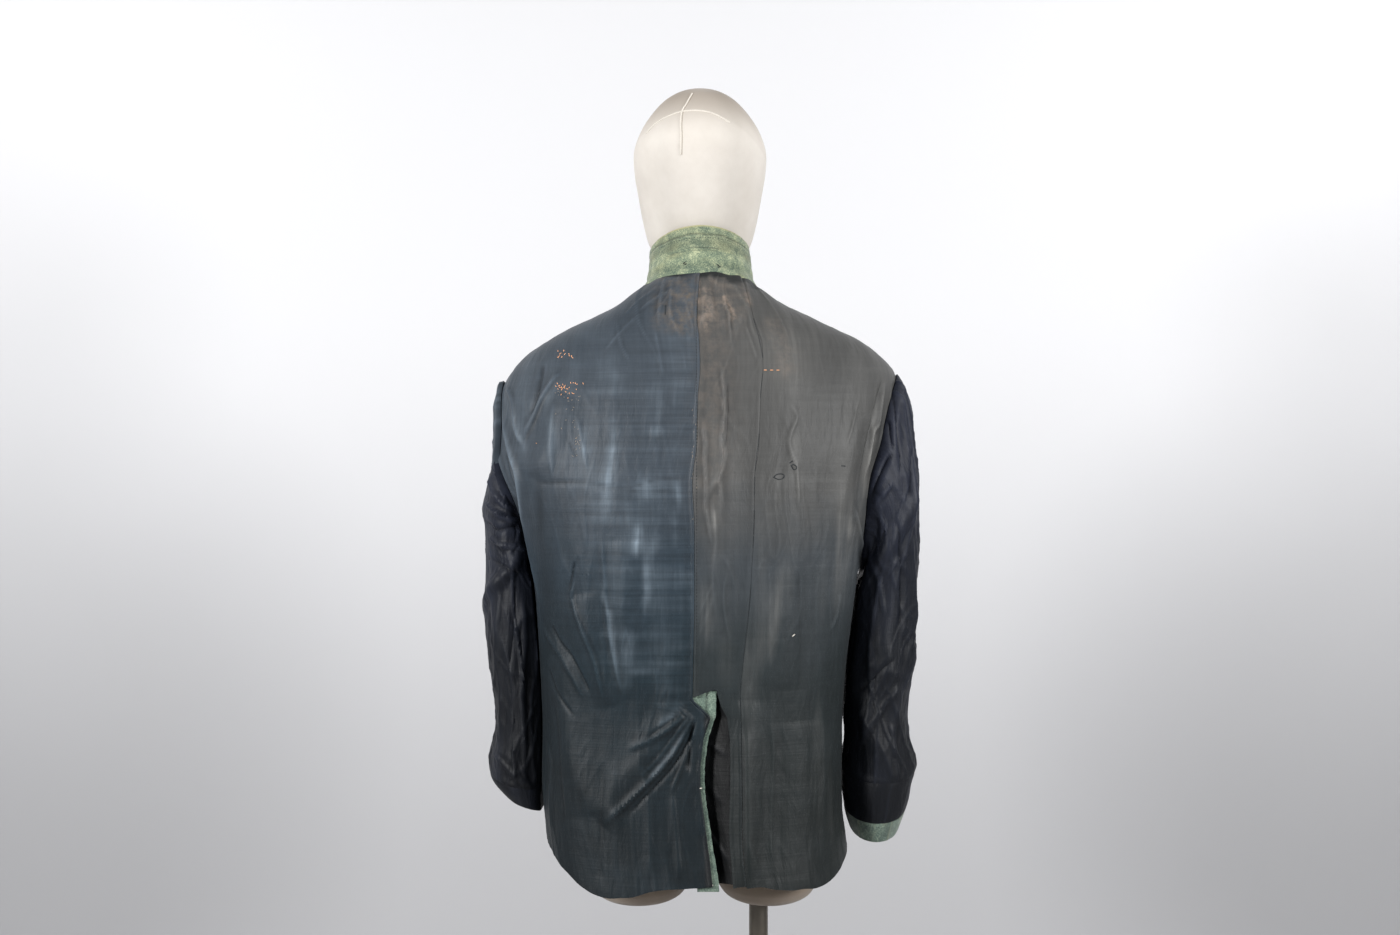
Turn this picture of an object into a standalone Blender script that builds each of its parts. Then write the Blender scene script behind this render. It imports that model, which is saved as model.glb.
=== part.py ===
"""A military field jacket, turned inside out, on a limbless dress form with a stand.

Metres, +Z up. The back of the jacket faces -Y and its right-hand side is at +X.
The origin is on the floor, under the middle of the jacket.

Every cloth panel is a piece of one smooth body surface. A place on that surface is given by its
height and by its girth, the distance walked round the body from the centre back or centre front.
The cloth stands on the outside of the surface, and the dress form lies inside it by a named ease.
"""

import math

import bmesh
import bpy
import numpy as np
from mathutils import Vector

for old in list(bpy.data.objects):
    bpy.data.objects.remove(old, do_unlink=True)

# Driving dimensions
CLOTH = 0.002  # lining and wool sewn together
WOOL = 0.003  # folded wool at the collar and the vent
SEAM_GAP = 0.0003  # between two pieces at a seam
LAYER_GAP = 0.0007  # between two layers of cloth
HEM_HEIGHT = 0.887
UNDERARM_HEIGHT = 1.225
SHOULDER_TIP_HEIGHT = 1.442
ARMHOLE_HALF_DEPTH = 0.062
ARMHOLE_BACK_LEFT_DEPTH = 0.030  # the left armhole is turned forwards, so its back edge hides at the outline
LEFT_SWELL = (0.0080, 1.350, 0.030)  # swell of the left shoulder: amount, height and spread
SHOULDER_SKEW = 0.018  # how much higher the right shoulder is, for each metre across
POLE_X = 0.068
POLE_RADIUS = 0.011
BASE_RADIUS = 0.190
BASE_THICKNESS = 0.008
THIGH_FOOT_HEIGHT = 0.842
BACK, FRONT = -1, 1
LEFT, RIGHT = -1, 1

# The body surface, from the hem up
BODY_COLUMNS = ("height", "half_width", "back", "front", "centre_x", "squareness", "lean", "ease")
BODY_ROWS = (
    (HEM_HEIGHT, 0.1705, 0.138, 0.132, -0.003, 2.7, 0.00, 0.0200),
    (0.950, 0.1710, 0.130, 0.126, -0.009, 2.6, 0.00, 0.0180),
    (1.070, 0.1720, 0.124, 0.118, -0.008, 2.5, 0.00, 0.0300),
    (1.186, 0.1820, 0.134, 0.124, -0.006, 2.6, 0.00, 0.0280),
    (1.236, 0.1890, 0.139, 0.127, -0.006, 2.6, 0.00, 0.0240),
    (1.279, 0.1985, 0.142, 0.129, -0.006, 2.5, 0.00, 0.0200),
    (1.3255, 0.2105, 0.143, 0.128, -0.008, 2.4, 0.00, 0.0140),
    (1.360, 0.2185, 0.141, 0.125, -0.004, 2.3, 0.00, 0.0120),
    (1.390, 0.2240, 0.138, 0.121, -0.003, 2.2, 0.00, 0.0090),
    (1.420, 0.2265, 0.133, 0.116, -0.002, 2.1, 0.00, 0.0050),
    (SHOULDER_TIP_HEIGHT, 0.2245, 0.127, 0.110, 0.000, 2.0, 0.00, 0.0020),
    (1.461, 0.2105, 0.1195, 0.104, 0.000, 2.0, 0.00, 0.0008),
    (1.480, 0.1870, 0.111, 0.097, -0.001, 2.0, 0.02, 0.0005),
    (1.500, 0.1490, 0.100, 0.088, -0.003, 2.0, 0.05, 0.0005),
    (1.522, 0.1010, 0.085, 0.076, -0.002, 2.0, 0.10, 0.0014),
    (1.546, 0.0630, 0.0660, 0.062, 0.000, 2.0, 0.18, 0.0020),
)
SHOULDER_TIP_ROW = 10
NECK_ROW = len(BODY_ROWS) - 1

# Largest folds of the body: x and height of both ends, sideways bow, half width and outward height
FOLD_COLUMNS = ("face", "x_top", "z_top", "x_low", "z_low", "bow", "width", "rise")
FOLDS = (
    (BACK, -0.012, 1.074, -0.104, 0.950, -0.016, 0.016, 0.0100),
    (BACK, -0.020, 1.050, -0.085, 0.960, -0.030, 0.012, -0.0050),
    (BACK, -0.150, 1.420, -0.182, 1.330, 0.006, 0.013, 0.0060),
    (BACK, -0.130, 1.200, -0.098, 1.080, -0.006, 0.014, 0.0050),
    (BACK, -0.152, 1.130, -0.118, 0.960, -0.008, 0.016, 0.0050),
    (BACK, -0.086, 1.260, -0.076, 1.090, 0.000, 0.014, 0.0040),
    (BACK, 0.026, 1.400, 0.020, 1.160, 0.004, 0.012, 0.0040),
    (BACK, 0.100, 1.330, 0.085, 1.100, 0.000, 0.022, 0.0040),
    (BACK, 0.178, 1.400, 0.158, 1.290, -0.004, 0.010, 0.0045),
    (BACK, 0.050, 1.085, 0.052, 0.860, 0.000, 0.016, 0.0080),
    (BACK, 0.115, 1.060, 0.110, 0.870, 0.000, 0.024, 0.0040),
    (FRONT, -0.100, 1.400, -0.080, 1.150, 0.000, 0.020, 0.0050),
    (FRONT, 0.105, 1.390, 0.088, 1.140, 0.000, 0.020, 0.0050),
    (FRONT, -0.070, 1.100, -0.095, 0.880, 0.004, 0.020, 0.0060),
    (FRONT, 0.060, 1.120, 0.090, 0.880, -0.004, 0.022, 0.0060),
)

# Where the two back linings part: girths of their edges from the centre back at the vent
VENT_COLUMNS = ("height", "lining_edge", "wool_edge", "right_edge")
VENT_ROWS = (
    (0.8600, 0.0155, 0.0235, 0.0380),
    (0.8885, 0.0168, 0.0240, 0.0385),
    (0.9145, 0.0175, 0.0230, 0.0400),
    (0.9416, 0.0160, 0.0208, 0.0400),
    (0.9687, 0.0129, 0.0172, 0.0410),
    (0.9900, 0.0100, 0.0145, 0.0415),
    (1.0175, 0.0096, 0.0140, 0.0415),
    (1.0446, 0.0123, 0.0172, 0.0405),
    (1.0685, 0.0200, 0.0248, 0.0370),
    (1.0790, 0.0090, 0.0255, 0.0310),
    (1.0850, 0.0025, 0.0255, 0.0275),
    (1.0890, 0.0000, 0.0255, 0.0255),
    (1.1040, 0.0000, 0.0255, 0.0000),
    (1.5500, 0.0000, 0.0255, 0.0000),
)
# How the torn edge above the vent slants: lift of the cloth at the seam, and at the tear's far end
TEAR_COLUMNS = ("height", "lift_at_seam", "lift_at_end")
TEAR_ROWS = ((1.0790, 0.0, 0.0), (1.0890, 0.0, 0.0095), (1.1040, -0.0140, 0.0), (1.1300, 0.0, 0.0))
TEAR_END = 0.0255
SIDE_SEAM_COLUMNS = ("height", "girth")
SIDE_SEAM_ROWS = ((0.860, 0.055), (0.970, 0.062), (1.110, 0.068), (1.280, 0.071), (1.474, 0.070), (1.570, 0.046))

# Sleeve sections, from the armhole to the cuff, for the right arm; x is measured outwards
SLEEVE_COLUMNS = ("outer_x", "outer_z", "inner_x", "inner_z", "centre_y", "half_depth", "dip")
SLEEVE_RIGHT_ROWS = (
    (0.2290, 1.442, 0.1880, 1.225, 0.000, 0.062, 0.000),
    (0.2400, 1.420, 0.1950, 1.218, 0.004, 0.066, 0.000),
    (0.2475, 1.384, 0.1900, 1.212, 0.008, 0.069, 0.000),
    (0.2515, 1.337, 0.1850, 1.203, 0.012, 0.071, 0.000),
    (0.2515, 1.290, 0.1800, 1.190, 0.014, 0.071, 0.000),
    (0.2520, 1.245, 0.1750, 1.174, 0.015, 0.070, 0.000),
    (0.2517, 1.205, 0.1720, 1.155, 0.015, 0.069, 0.000),
    (0.2486, 1.157, 0.1700, 1.132, 0.015, 0.067, 0.000),
    (0.2497, 1.125, 0.1700, 1.108, 0.014, 0.066, 0.000),
    (0.2450, 1.087, 0.1700, 1.078, 0.012, 0.064, 0.002),
    (0.2416, 1.042, 0.1715, 1.042, 0.010, 0.062, 0.003),
    (0.2470, 1.018, 0.1705, 1.016, 0.010, 0.061, 0.004),
    (0.2528, 0.999, 0.1700, 0.996, 0.010, 0.060, 0.006),
    (0.2470, 0.977, 0.1695, 0.975, 0.010, 0.059, 0.008),
    (0.2416, 0.957, 0.1700, 0.954, 0.010, 0.056, 0.010),
    (0.2350, 0.940, 0.1720, 0.937, 0.010, 0.052, 0.012),
    (0.2300, 0.927, 0.1760, 0.924, 0.010, 0.048, 0.012),
)
SLEEVE_LEFT_ROWS = (
    (0.2290, 1.442, 0.1990, 1.225, 0.016, 0.046, 0.000),
    (0.2320, 1.415, 0.1980, 1.218, 0.020, 0.050, 0.000),
    (0.2365, 1.384, 0.1930, 1.212, 0.024, 0.055, 0.000),
    (0.2420, 1.345, 0.1870, 1.203, 0.028, 0.062, 0.000),
    (0.2530, 1.296, 0.1800, 1.190, 0.030, 0.068, 0.000),
    (0.2480, 1.258, 0.1750, 1.176, 0.030, 0.070, 0.000),
    (0.2490, 1.210, 0.1720, 1.158, 0.028, 0.071, 0.000),
    (0.2500, 1.157, 0.1700, 1.132, 0.028, 0.069, 0.000),
    (0.2455, 1.122, 0.1700, 1.106, 0.027, 0.067, 0.000),
    (0.2390, 1.081, 0.1700, 1.076, 0.026, 0.064, 0.002),
    (0.2370, 1.046, 0.1700, 1.042, 0.025, 0.062, 0.003),
    (0.2420, 1.020, 0.1700, 1.014, 0.024, 0.061, 0.004),
    (0.2450, 1.000, 0.1700, 0.990, 0.023, 0.060, 0.005),
    (0.2430, 0.982, 0.1720, 0.964, 0.022, 0.056, 0.005),
    (0.2310, 0.969, 0.1760, 0.943, 0.022, 0.050, 0.004),
)
# Largest folds of the sleeves: angle from the outer line towards the back, heights, spreads and rise
SLEEVE_FOLD_COLUMNS = ("side", "angle", "z_mid", "angle_spread", "z_spread", "slant", "rise")
SLEEVE_FOLDS = (
    (RIGHT, 55, 1.310, 16, 0.080, 0, 0.0045),
    (RIGHT, 95, 1.255, 14, 0.050, -40, 0.0050),
    (RIGHT, 40, 1.150, 15, 0.080, 0, 0.0040),
    (RIGHT, 75, 1.100, 14, 0.070, 30, 0.0045),
    (RIGHT, 110, 1.050, 16, 0.060, 30, 0.0040),
    (RIGHT, 270, 1.220, 18, 0.080, 0, 0.0045),
    (RIGHT, 300, 1.080, 18, 0.080, -20, 0.0045),
    (LEFT, 60, 1.300, 16, 0.050, -30, 0.0050),
    (LEFT, 70, 1.215, 14, 0.040, 60, 0.0060),
    (LEFT, 45, 1.120, 16, 0.080, 0, 0.0040),
    (LEFT, 80, 1.070, 15, 0.070, 0, 0.0040),
    (LEFT, 265, 1.230, 18, 0.080, 0, 0.0045),
    (LEFT, 300, 1.090, 18, 0.080, 20, 0.0045),
)
CUFF_START_RIGHT, CUFF_END_RIGHT = 13.0, 15.0
CUFF_START_LEFT = 13.0
SLEEVE_GAP = 0.0006  # clear space between the sleeve's edge and the body at the armhole
SLEEVE_LIFT = 0.0035  # how far the sleeve stands straight off the body at the armhole
SLEEVE_CLEARANCE = 0.0020  # clear space where a sleeve hangs against the body

# The collar, as heights above the neck seam at the centre back
COLLAR_COLUMNS = ("rise", "half_width", "back", "front")
COLLAR_STAND_ROWS = (
    (-0.0010, 0.0594, 0.0624, 0.0584),
    (0.0130, 0.0576, 0.0608, 0.0570),
    (0.0260, 0.0566, 0.0600, 0.0564),
)
COLLAR_FALL_ROWS = (
    (0.0272, 0.0565, 0.0599, 0.0563),
    (0.0400, 0.0560, 0.0591, 0.0557),
    (0.0535, 0.0550, 0.0578, 0.0545),
)
COLLAR_FRONT_DROP = 0.17  # share of its height that the collar loses at the side of the neck
COLLAR_FRONT_GAP_ANGLE = math.radians(4)

# The egg head and the thigh ends of the dress form
HEAD_COLUMNS = ("height", "half_width", "half_depth", "centre_y")
HEAD_ROWS = (
    (1.572, 0.0000, 0.0000, 0.032),
    (1.575, 0.0240, 0.0330, 0.032),
    (1.580, 0.0380, 0.0510, 0.032),
    (1.586, 0.0490, 0.0620, 0.031),
    (1.595, 0.0565, 0.0700, 0.029),
    (1.610, 0.0625, 0.0770, 0.026),
    (1.631, 0.0675, 0.0840, 0.021),
    (1.656, 0.0720, 0.0900, 0.015),
    (1.681, 0.0762, 0.0940, 0.009),
    (1.705, 0.0770, 0.0945, 0.004),
    (1.7245, 0.0707, 0.0880, 0.001),
    (1.741, 0.0612, 0.0770, -0.001),
    (1.758, 0.0473, 0.0600, -0.002),
    (1.768, 0.0345, 0.0440, -0.003),
    (1.7745, 0.0200, 0.0260, -0.003),
    (1.778, 0.0000, 0.0000, -0.003),
)
THIGH_COLUMNS = ("height", "half_width", "half_depth", "centre_y")
THIGH_ROWS = (
    (THIGH_FOOT_HEIGHT, 0.0000, 0.0000, 0.0),
    (THIGH_FOOT_HEIGHT, 0.0320, 0.0400, 0.0),
    (0.8465, 0.0460, 0.0600, 0.0),
    (0.8550, 0.0545, 0.0720, 0.0),
    (0.8700, 0.0600, 0.0800, 0.0),
    (0.9200, 0.0650, 0.0860, 0.0),
    (0.9750, 0.0600, 0.0800, 0.0),
    (0.9850, 0.0000, 0.0000, 0.0),
)
THIGH_CENTRES = {LEFT: -0.070, RIGHT: 0.078}
NECK_FORM_ROWS = ((1.575, 0.0500), (1.600, 0.0470), (1.612, 0.0300), (1.614, 0.0000))
NECK_CENTRE_Y = -0.002
NECK_SHARE = 0.90  # the form's neck as a share of the neck seam
SEAT_CLOSE_ROWS = ((0.900, 0.0), (0.902, 0.45), (0.912, 0.75), (0.930, 0.93))  # height, share of the hip section
HIP_HEIGHT = 0.955
FORM_HEIGHTS = (HIP_HEIGHT, 1.010, 1.070, 1.130, 1.190, 1.240, 1.285, 1.325, 1.360, 1.390, 1.412, 1.430)

# Grid sizes
LEFT_COLUMNS, CENTRE_COLUMNS, SIDE_COLUMNS, FRONT_SIDE_COLUMNS = 16, 6, 10, 10
BACK_LOWER_HEIGHTS = (HEM_HEIGHT, 0.908, 0.936, 0.9640, 0.9900, 1.0175, 1.0446, 1.0685)
BACK_LOWER_HEIGHTS += (1.0790, 1.0890, 1.1040, 1.1300, 1.1600, 1.1920)
FRONT_LOWER_HEIGHTS = (HEM_HEIGHT, 0.920, 0.960, 1.000, 1.050, 1.100, 1.145, 1.185)
ARMHOLE_ROWS = 12
SHOULDER_ROWS = 6
SLEEVE_ROWS = 16
SECTION_SAMPLES = 65

LINING_SLATE = (0.024, 0.040, 0.052)
LINING_BROWN = (0.060, 0.062, 0.058)
LINING_BLACK = (0.010, 0.011, 0.014)
WOOL_GREEN = (0.110, 0.170, 0.105)
FORM_CREAM = (0.680, 0.610, 0.500)
STEEL_GREY = (0.320, 0.300, 0.270)

parts = bpy.data.collections.new("military_jacket_on_dress_form")
bpy.context.scene.collection.children.link(parts)


def smooth(value):
    """0 below 0, 1 above 1, and a soft step between."""
    value = min(1.0, max(0.0, value))
    return value * value * (3 - 2 * value)


def row_at(table, position):
    """The row of a table at a position between its rows, on a smooth curve through them."""
    rows = np.array(table, float)
    last = len(rows) - 1
    position = min(max(position, 0.0), float(last))
    first = min(int(position), last - 1)
    share = position - first
    before, after = max(first - 1, 0), min(first + 2, last)
    p0, p1, p2, p3 = rows[before], rows[first], rows[first + 1], rows[after]
    slope_1, slope_2 = (p2 - p0) / 2, (p3 - p1) / 2
    share_2, share_3 = share**2, share**3
    return (
        (2 * share_3 - 3 * share_2 + 1) * p1
        + (share_3 - 2 * share_2 + share) * slope_1
        + (3 * share_2 - 2 * share_3) * p2
        + (share_3 - share_2) * slope_2
    )


def between(table, height, column):
    """A column of a table whose first column is a height, read in straight lines between rows."""
    rows = np.array(table, float)
    return float(np.interp(height, rows[:, 0], rows[:, column]))


ROW_SAMPLES = np.linspace(0, NECK_ROW, NECK_ROW * 20 + 1)
HEIGHT_SAMPLES = np.array([row_at(BODY_ROWS, sample)[0] for sample in ROW_SAMPLES])


def row_of_height(height):
    """Where a height lies among the body's rows."""
    return float(np.interp(height, HEIGHT_SAMPLES, ROW_SAMPLES))


def quarter_section(row, face):
    """Points of one quarter of the body's section, from the centre line to the side, and the girth at each."""
    angle = np.linspace(0, math.pi / 2, SECTION_SAMPLES)
    power = 2 / row[5]
    depth = row[2] if face == BACK else row[3]
    across = row[1] * np.sin(angle) ** power
    outwards = depth * np.abs(np.cos(angle)) ** power
    steps = np.hypot(np.diff(across), np.diff(outwards))
    return across, outwards, np.concatenate(([0.0], np.cumsum(steps)))


def left_swell(height, share):
    """How much further out the left side swells, share being 1 at the outline."""
    amount, middle, spread = LEFT_SWELL
    return amount * math.exp(-(((height - middle) / spread) ** 2)) * share**3


def body_surface(position, face, girth):
    """The point of the body surface at a row position and a signed girth from the centre line."""
    row = row_at(BODY_ROWS, position)
    across, outwards, girths = quarter_section(row, face)
    side = RIGHT if girth >= 0 else LEFT
    x = row[4] + side * float(np.interp(abs(girth), girths, across))
    y = face * float(np.interp(abs(girth), girths, outwards))
    if side == LEFT:
        x -= left_swell(row[0], abs(x - row[4]) / row[1])
    z = row[0] - row[6] * y
    low = 1 - smooth((z - HEM_HEIGHT) / 0.16)
    side_lift = 0.030 * abs(x / row[1]) ** 6 if x < 0 else 0.032 * abs(x / row[1]) ** 9
    left_dip = 0.0165 * math.exp(-(((x + 0.100) / 0.045) ** 2))
    right_dip = 0.0100 * math.exp(-(((x - 0.130) / 0.050) ** 2))
    z += low * (side_lift - left_dip - right_dip)
    return Vector((x, y, z + SHOULDER_SKEW * x * smooth((z - 1.2) / 0.25)))


def body_normal(position, face, girth):
    """The outward normal of the body surface."""
    step = 0.02
    up = body_surface(min(position + step, NECK_ROW), face, girth)
    down = body_surface(max(position - step, 0), face, girth)
    ahead = body_surface(position, face, girth + 0.002)
    behind = body_surface(position, face, girth - 0.002)
    return (ahead - behind).cross(up - down).normalized() * -face


def fold_rise(face, x, z):
    """How far the body's folds lift the cloth off its smooth surface at one place."""
    rise = 0.0
    for fold_face, x_top, z_top, x_low, z_low, bow, width, height in FOLDS:
        if fold_face != face:
            continue
        run = Vector((x_low - x_top, z_low - z_top))
        along = (Vector((x, z)) - Vector((x_top, z_top))).dot(run) / run.length_squared
        if not 0 < along < 1:
            continue
        line = Vector((x_top, z_top)) + run * along
        sideways = Vector((-run.y, run.x)).normalized()
        arch = 4 * along * (1 - along)
        away = (Vector((x, z)) - line).dot(sideways) - bow * arch
        rise += height * math.sqrt(arch) * math.exp(-((away / width) ** 2))
    return rise


def armhole_reach(face, side):
    """How far the widest part of an armhole reaches to the back or to the front."""
    return ARMHOLE_BACK_LEFT_DEPTH if face == BACK and side == LEFT else ARMHOLE_HALF_DEPTH


def outer_girth(position, face, side):
    """The girth where a panel ends: the side seam, the armhole's edge, or the shoulder seam."""
    row = row_at(BODY_ROWS, position)
    across, outwards, girths = quarter_section(row, face)
    middle = (UNDERARM_HEIGHT + SHOULDER_TIP_HEIGHT) / 2
    share = (row[0] - middle) / (SHOULDER_TIP_HEIGHT - middle)
    depth = armhole_reach(face, side) * math.sqrt(max(0.0, 1 - share * share))
    if depth <= 0:
        return girths[-1] - SEAM_GAP / 2
    return float(np.interp(depth, outwards[::-1], girths[::-1]))


SHOULDER_POSITIONS = list(np.linspace(SHOULDER_TIP_ROW, NECK_ROW, SHOULDER_ROWS + 1))


def panel_positions(lower_heights):
    """Row positions of a body panel: named below the armhole, closer at its ends, even on the shoulder."""
    positions = [row_of_height(height) for height in lower_heights]
    reach = (SHOULDER_TIP_HEIGHT - UNDERARM_HEIGHT) / 2
    turns = np.linspace(0, math.pi, ARMHOLE_ROWS + 1)[:-1]
    positions += [row_of_height(UNDERARM_HEIGHT + reach * (1 - math.cos(turn))) for turn in turns]
    return positions + SHOULDER_POSITIONS


def material(name, colour, roughness, metallic=0.0):
    """A plain Principled material, made once for each name."""
    found = bpy.data.materials.get(name)
    if found:
        return found
    made = bpy.data.materials.new(name)
    made.use_nodes = True
    shader = made.node_tree.nodes["Principled BSDF"]
    shader.inputs["Base Color"].default_value = (*colour, 1)
    shader.inputs["Roughness"].default_value = roughness
    shader.inputs["Metallic"].default_value = metallic
    made.diffuse_color = (*colour, 1)
    return made


def add_object(name, mesh, finish):
    """Links a mesh as a named part with its material."""
    mesh.materials.append(finish)
    mesh.shade_smooth()
    made = bpy.data.objects.new(name, mesh)
    parts.objects.link(made)
    return made


def mapped_grid(name, columns, rows, place, close=False):
    """A grid whose corners are carried to place(across, along), both from 0 to 1."""
    grid = bmesh.new()
    bmesh.ops.create_grid(grid, x_segments=columns, y_segments=rows, size=1)
    for vertex in grid.verts:
        across, along = (vertex.co.x + 1) / 2, (vertex.co.y + 1) / 2
        vertex.co = place(across, along)
    if close:
        bmesh.ops.remove_doubles(grid, verts=grid.verts, dist=1e-5)
    mesh = bpy.data.meshes.new(name)
    grid.to_mesh(mesh)
    grid.free()
    return mesh


def cloth(name, columns, rows, place, thickness, finish, tube=False):
    """A wall of cloth: an open surface given thickness on the side away from the body's or tube's middle."""
    mesh = mapped_grid(name, columns, rows, place, tube)
    corners = [vertex.co.to_2d() for vertex in mesh.vertices]
    middle = sum(corners, Vector((0, 0))) / len(corners) if tube else Vector((0, 0))
    looks = sum((face.center.to_2d() - middle).dot(face.normal.to_2d()) * face.area for face in mesh.polygons)
    if looks < 0:
        mesh.flip_normals()
    made = add_object(name, mesh, finish)
    wall = made.modifiers.new("wall", "SOLIDIFY")
    wall.thickness = thickness
    wall.offset = 1
    return made


def body_panel(name, face, inner_edge, outer_edge, columns, positions, finish):
    """A panel of the body between two girth edges, each a function of row position."""

    def place(across, along):
        position = positions[round(along * (len(positions) - 1))]
        inner, outer = inner_edge(position), outer_edge(position)
        girth = inner + (outer - inner) * across
        point = body_surface(position, face, girth)
        if name == "back_right_centre":
            point.z += tear_lift(height_of(position), girth)
        edge_room = min(1.0, abs(abs(girth) - outer_girth(position, face, RIGHT if outer > 0 else LEFT)) / 0.03)
        return point + body_normal(position, face, girth) * fold_rise(face, point.x, point.z) * smooth(edge_room)

    return cloth(name, columns, len(positions) - 1, place, CLOTH, finish)


def height_of(position):
    """The height of a body row position."""
    return float(row_at(BODY_ROWS, position)[0])


def tear_lift(height, girth):
    """How far the torn edge above the vent moves the right lining up or down."""
    at_seam, at_end = between(TEAR_ROWS, height, 1), between(TEAR_ROWS, height, 2)
    return at_seam * max(0.0, 1 - girth / TEAR_END) + at_end * max(0.0, 1 - abs(girth - TEAR_END) / TEAR_END)


def vent_girth(column, gap):
    """A function that reads one edge of the vent, moved by half a seam gap."""
    return lambda position: between(VENT_ROWS, height_of(position), column) + gap


def side_seam_girth(gap):
    """A function that reads the stitched line of the right back lining."""
    return lambda position: between(SIDE_SEAM_ROWS, height_of(position), 1) + gap


def make_body():
    """The three back linings and the two fronts."""
    half = SEAM_GAP / 2
    slate = material("lining_slate", LINING_SLATE, 0.5)
    brown = material("lining_brown", LINING_BROWN, 0.5)
    positions = panel_positions(BACK_LOWER_HEIGHTS)
    body_panel("back_left", BACK, vent_girth(1, -half), lambda p: -outer_girth(p, BACK, LEFT),
               LEFT_COLUMNS, positions, slate)
    body_panel("back_right_centre", BACK, vent_girth(3, half), side_seam_girth(-half),
               CENTRE_COLUMNS, positions, brown)
    body_panel("back_right_side", BACK, side_seam_girth(half), lambda p: outer_girth(p, BACK, RIGHT),
               SIDE_COLUMNS, positions, brown)
    front_positions = panel_positions(FRONT_LOWER_HEIGHTS)
    for name, side in (("front_left", LEFT), ("front_right", RIGHT)):
        body_panel(name, FRONT, lambda p, s=side: s * half, lambda p, s=side: s * outer_girth(p, FRONT, s),
                   FRONT_SIDE_COLUMNS, front_positions, slate)


def make_vent():
    """The wool edge and torn patch of the vent, and the dark layer under it."""
    wool = material("wool_green", WOOL_GREEN, 0.9)
    black = material("lining_black", LINING_BLACK, 0.55)
    tuck = 0.004  # how far the wool runs on under the left lining
    wool_top, wool_foot, corner_top = 1.106, 0.8820, 0.902

    def wool_place(across, along):
        height = wool_foot + (wool_top - wool_foot) * along
        lining_edge = between(VENT_ROWS, height, 1)
        left = 0.0 if height < corner_top else min(lining_edge, 0.010) - tuck
        right = between(VENT_ROWS, height, 2)
        position = max(0.0, row_of_height(height))
        girth = left + (right - left) * across
        point = body_surface(position, BACK, girth)
        point.z -= max(0.0, HEM_HEIGHT - height)
        return point - body_normal(position, BACK, girth) * (LAYER_GAP + WOOL)

    cloth("vent_wool_edge", 3, 16, wool_place, WOOL, wool)

    under_top, under_foot, pocket, shallow = 1.100, 0.890, 0.016, 0.0072
    overlap = 0.012

    def under_place(across, along):
        height = under_foot + (under_top - under_foot) * along
        left = between(VENT_ROWS, height, 1) - overlap
        turn = between(VENT_ROWS, height, 2) + 0.001
        right = max(between(VENT_ROWS, height, 3), turn) + overlap
        girth = left + (turn - left) * across * 2 if across <= 0.5 else turn + (right - turn) * (across * 2 - 1)
        position = row_of_height(height)
        point = body_surface(position, BACK, girth)
        closing = smooth((girth - turn) / max(0.006, right - overlap + 0.003 - turn))
        depth = shallow + (pocket - shallow) * math.sin(math.pi * min(1.0, across * 1.2)) * (1 - along**4)
        seat = LAYER_GAP + CLOTH - fold_rise(BACK, point.x, point.z)
        depth = depth * (1 - closing) + seat * closing
        return point - body_normal(position, BACK, girth) * depth

    cloth("vent_underlap", 8, 10, under_place, CLOTH, black)


def armhole_point(side, angle, away):
    """A point off the cloth at the armhole's edge; angle 0 is the shoulder tip, a quarter turn the back."""
    middle = (UNDERARM_HEIGHT + SHOULDER_TIP_HEIGHT) / 2
    position = row_of_height(middle + (SHOULDER_TIP_HEIGHT - middle) * math.cos(angle))
    face = BACK if math.sin(angle) >= 0 else FRONT
    depth = armhole_reach(face, side) * math.sin(angle)
    across, outwards, girths = quarter_section(row_at(BODY_ROWS, position), face)
    girth = side * float(np.interp(abs(depth), outwards[::-1], girths[::-1]))
    point = body_surface(position, face, girth)
    up = body_surface(position + 0.02, face, girth) - body_surface(position - 0.02, face, girth)
    normal = up.cross(point - body_surface(position, face, girth - side * 0.004)).normalized()
    normal = normal if normal.x * side > 0 else -normal
    return point + normal * (CLOTH + SLEEVE_GAP + away)


def least_reach(side, y, z, clearance):
    """How far out a sleeve must stay at a depth and height to clear the body's cloth."""
    row = row_at(BODY_ROWS, row_of_height(z))
    depth = row[2] if y < 0 else row[3]
    share = abs(y) / depth
    if share > 0.97:
        return 0.0
    reach = row[1] * (1 - share ** row[5]) ** (1 / row[5])
    slope = row[1] / depth * share ** (row[5] - 1) * (1 - share ** row[5]) ** (1 / row[5] - 1)
    swell = left_swell(row[0], reach / row[1]) if side == LEFT else 0.0
    return side * row[4] + reach + swell + clearance * math.hypot(1, slope)


def sleeve_point(side, rows, position, angle):
    """A point of the sleeve's inner face; angle 0 is its outer line and a quarter turn the back."""
    if position <= 0.6:
        return armhole_point(side, angle, SLEEVE_LIFT * position / 0.6)

    def ring(place):
        row = row_at(rows, place)
        outer, inner = Vector((row[0], row[1])), Vector((row[2], row[3]))
        flat = (outer + inner) / 2 + (outer - inner) / 2 * math.cos(angle)
        x, y, z = side * flat.x, row[4] - row[5] * math.sin(angle), flat.y - row[6] * math.sin(angle)
        return Vector((x, y, z + SHOULDER_SKEW * x * smooth((z - 1.2) / 0.25)))

    point = ring(position)
    point += (armhole_point(side, angle, SLEEVE_LIFT) - ring(0)) * (1 - smooth((position - 0.4) / 2.4))
    row = row_at(rows, position)
    outwards = Vector((side * math.cos(angle) * row[5], -math.sin(angle) * (row[0] - row[2]) / 2, 0)).normalized()
    point += outwards * sleeve_fold_rise(side, angle, point.z) * smooth((position - 0.6) / 2)
    least = least_reach(side, point.y, point.z, 2 * CLOTH + SLEEVE_CLEARANCE)
    point.x = side * max(abs(point.x), least)
    return point


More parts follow.
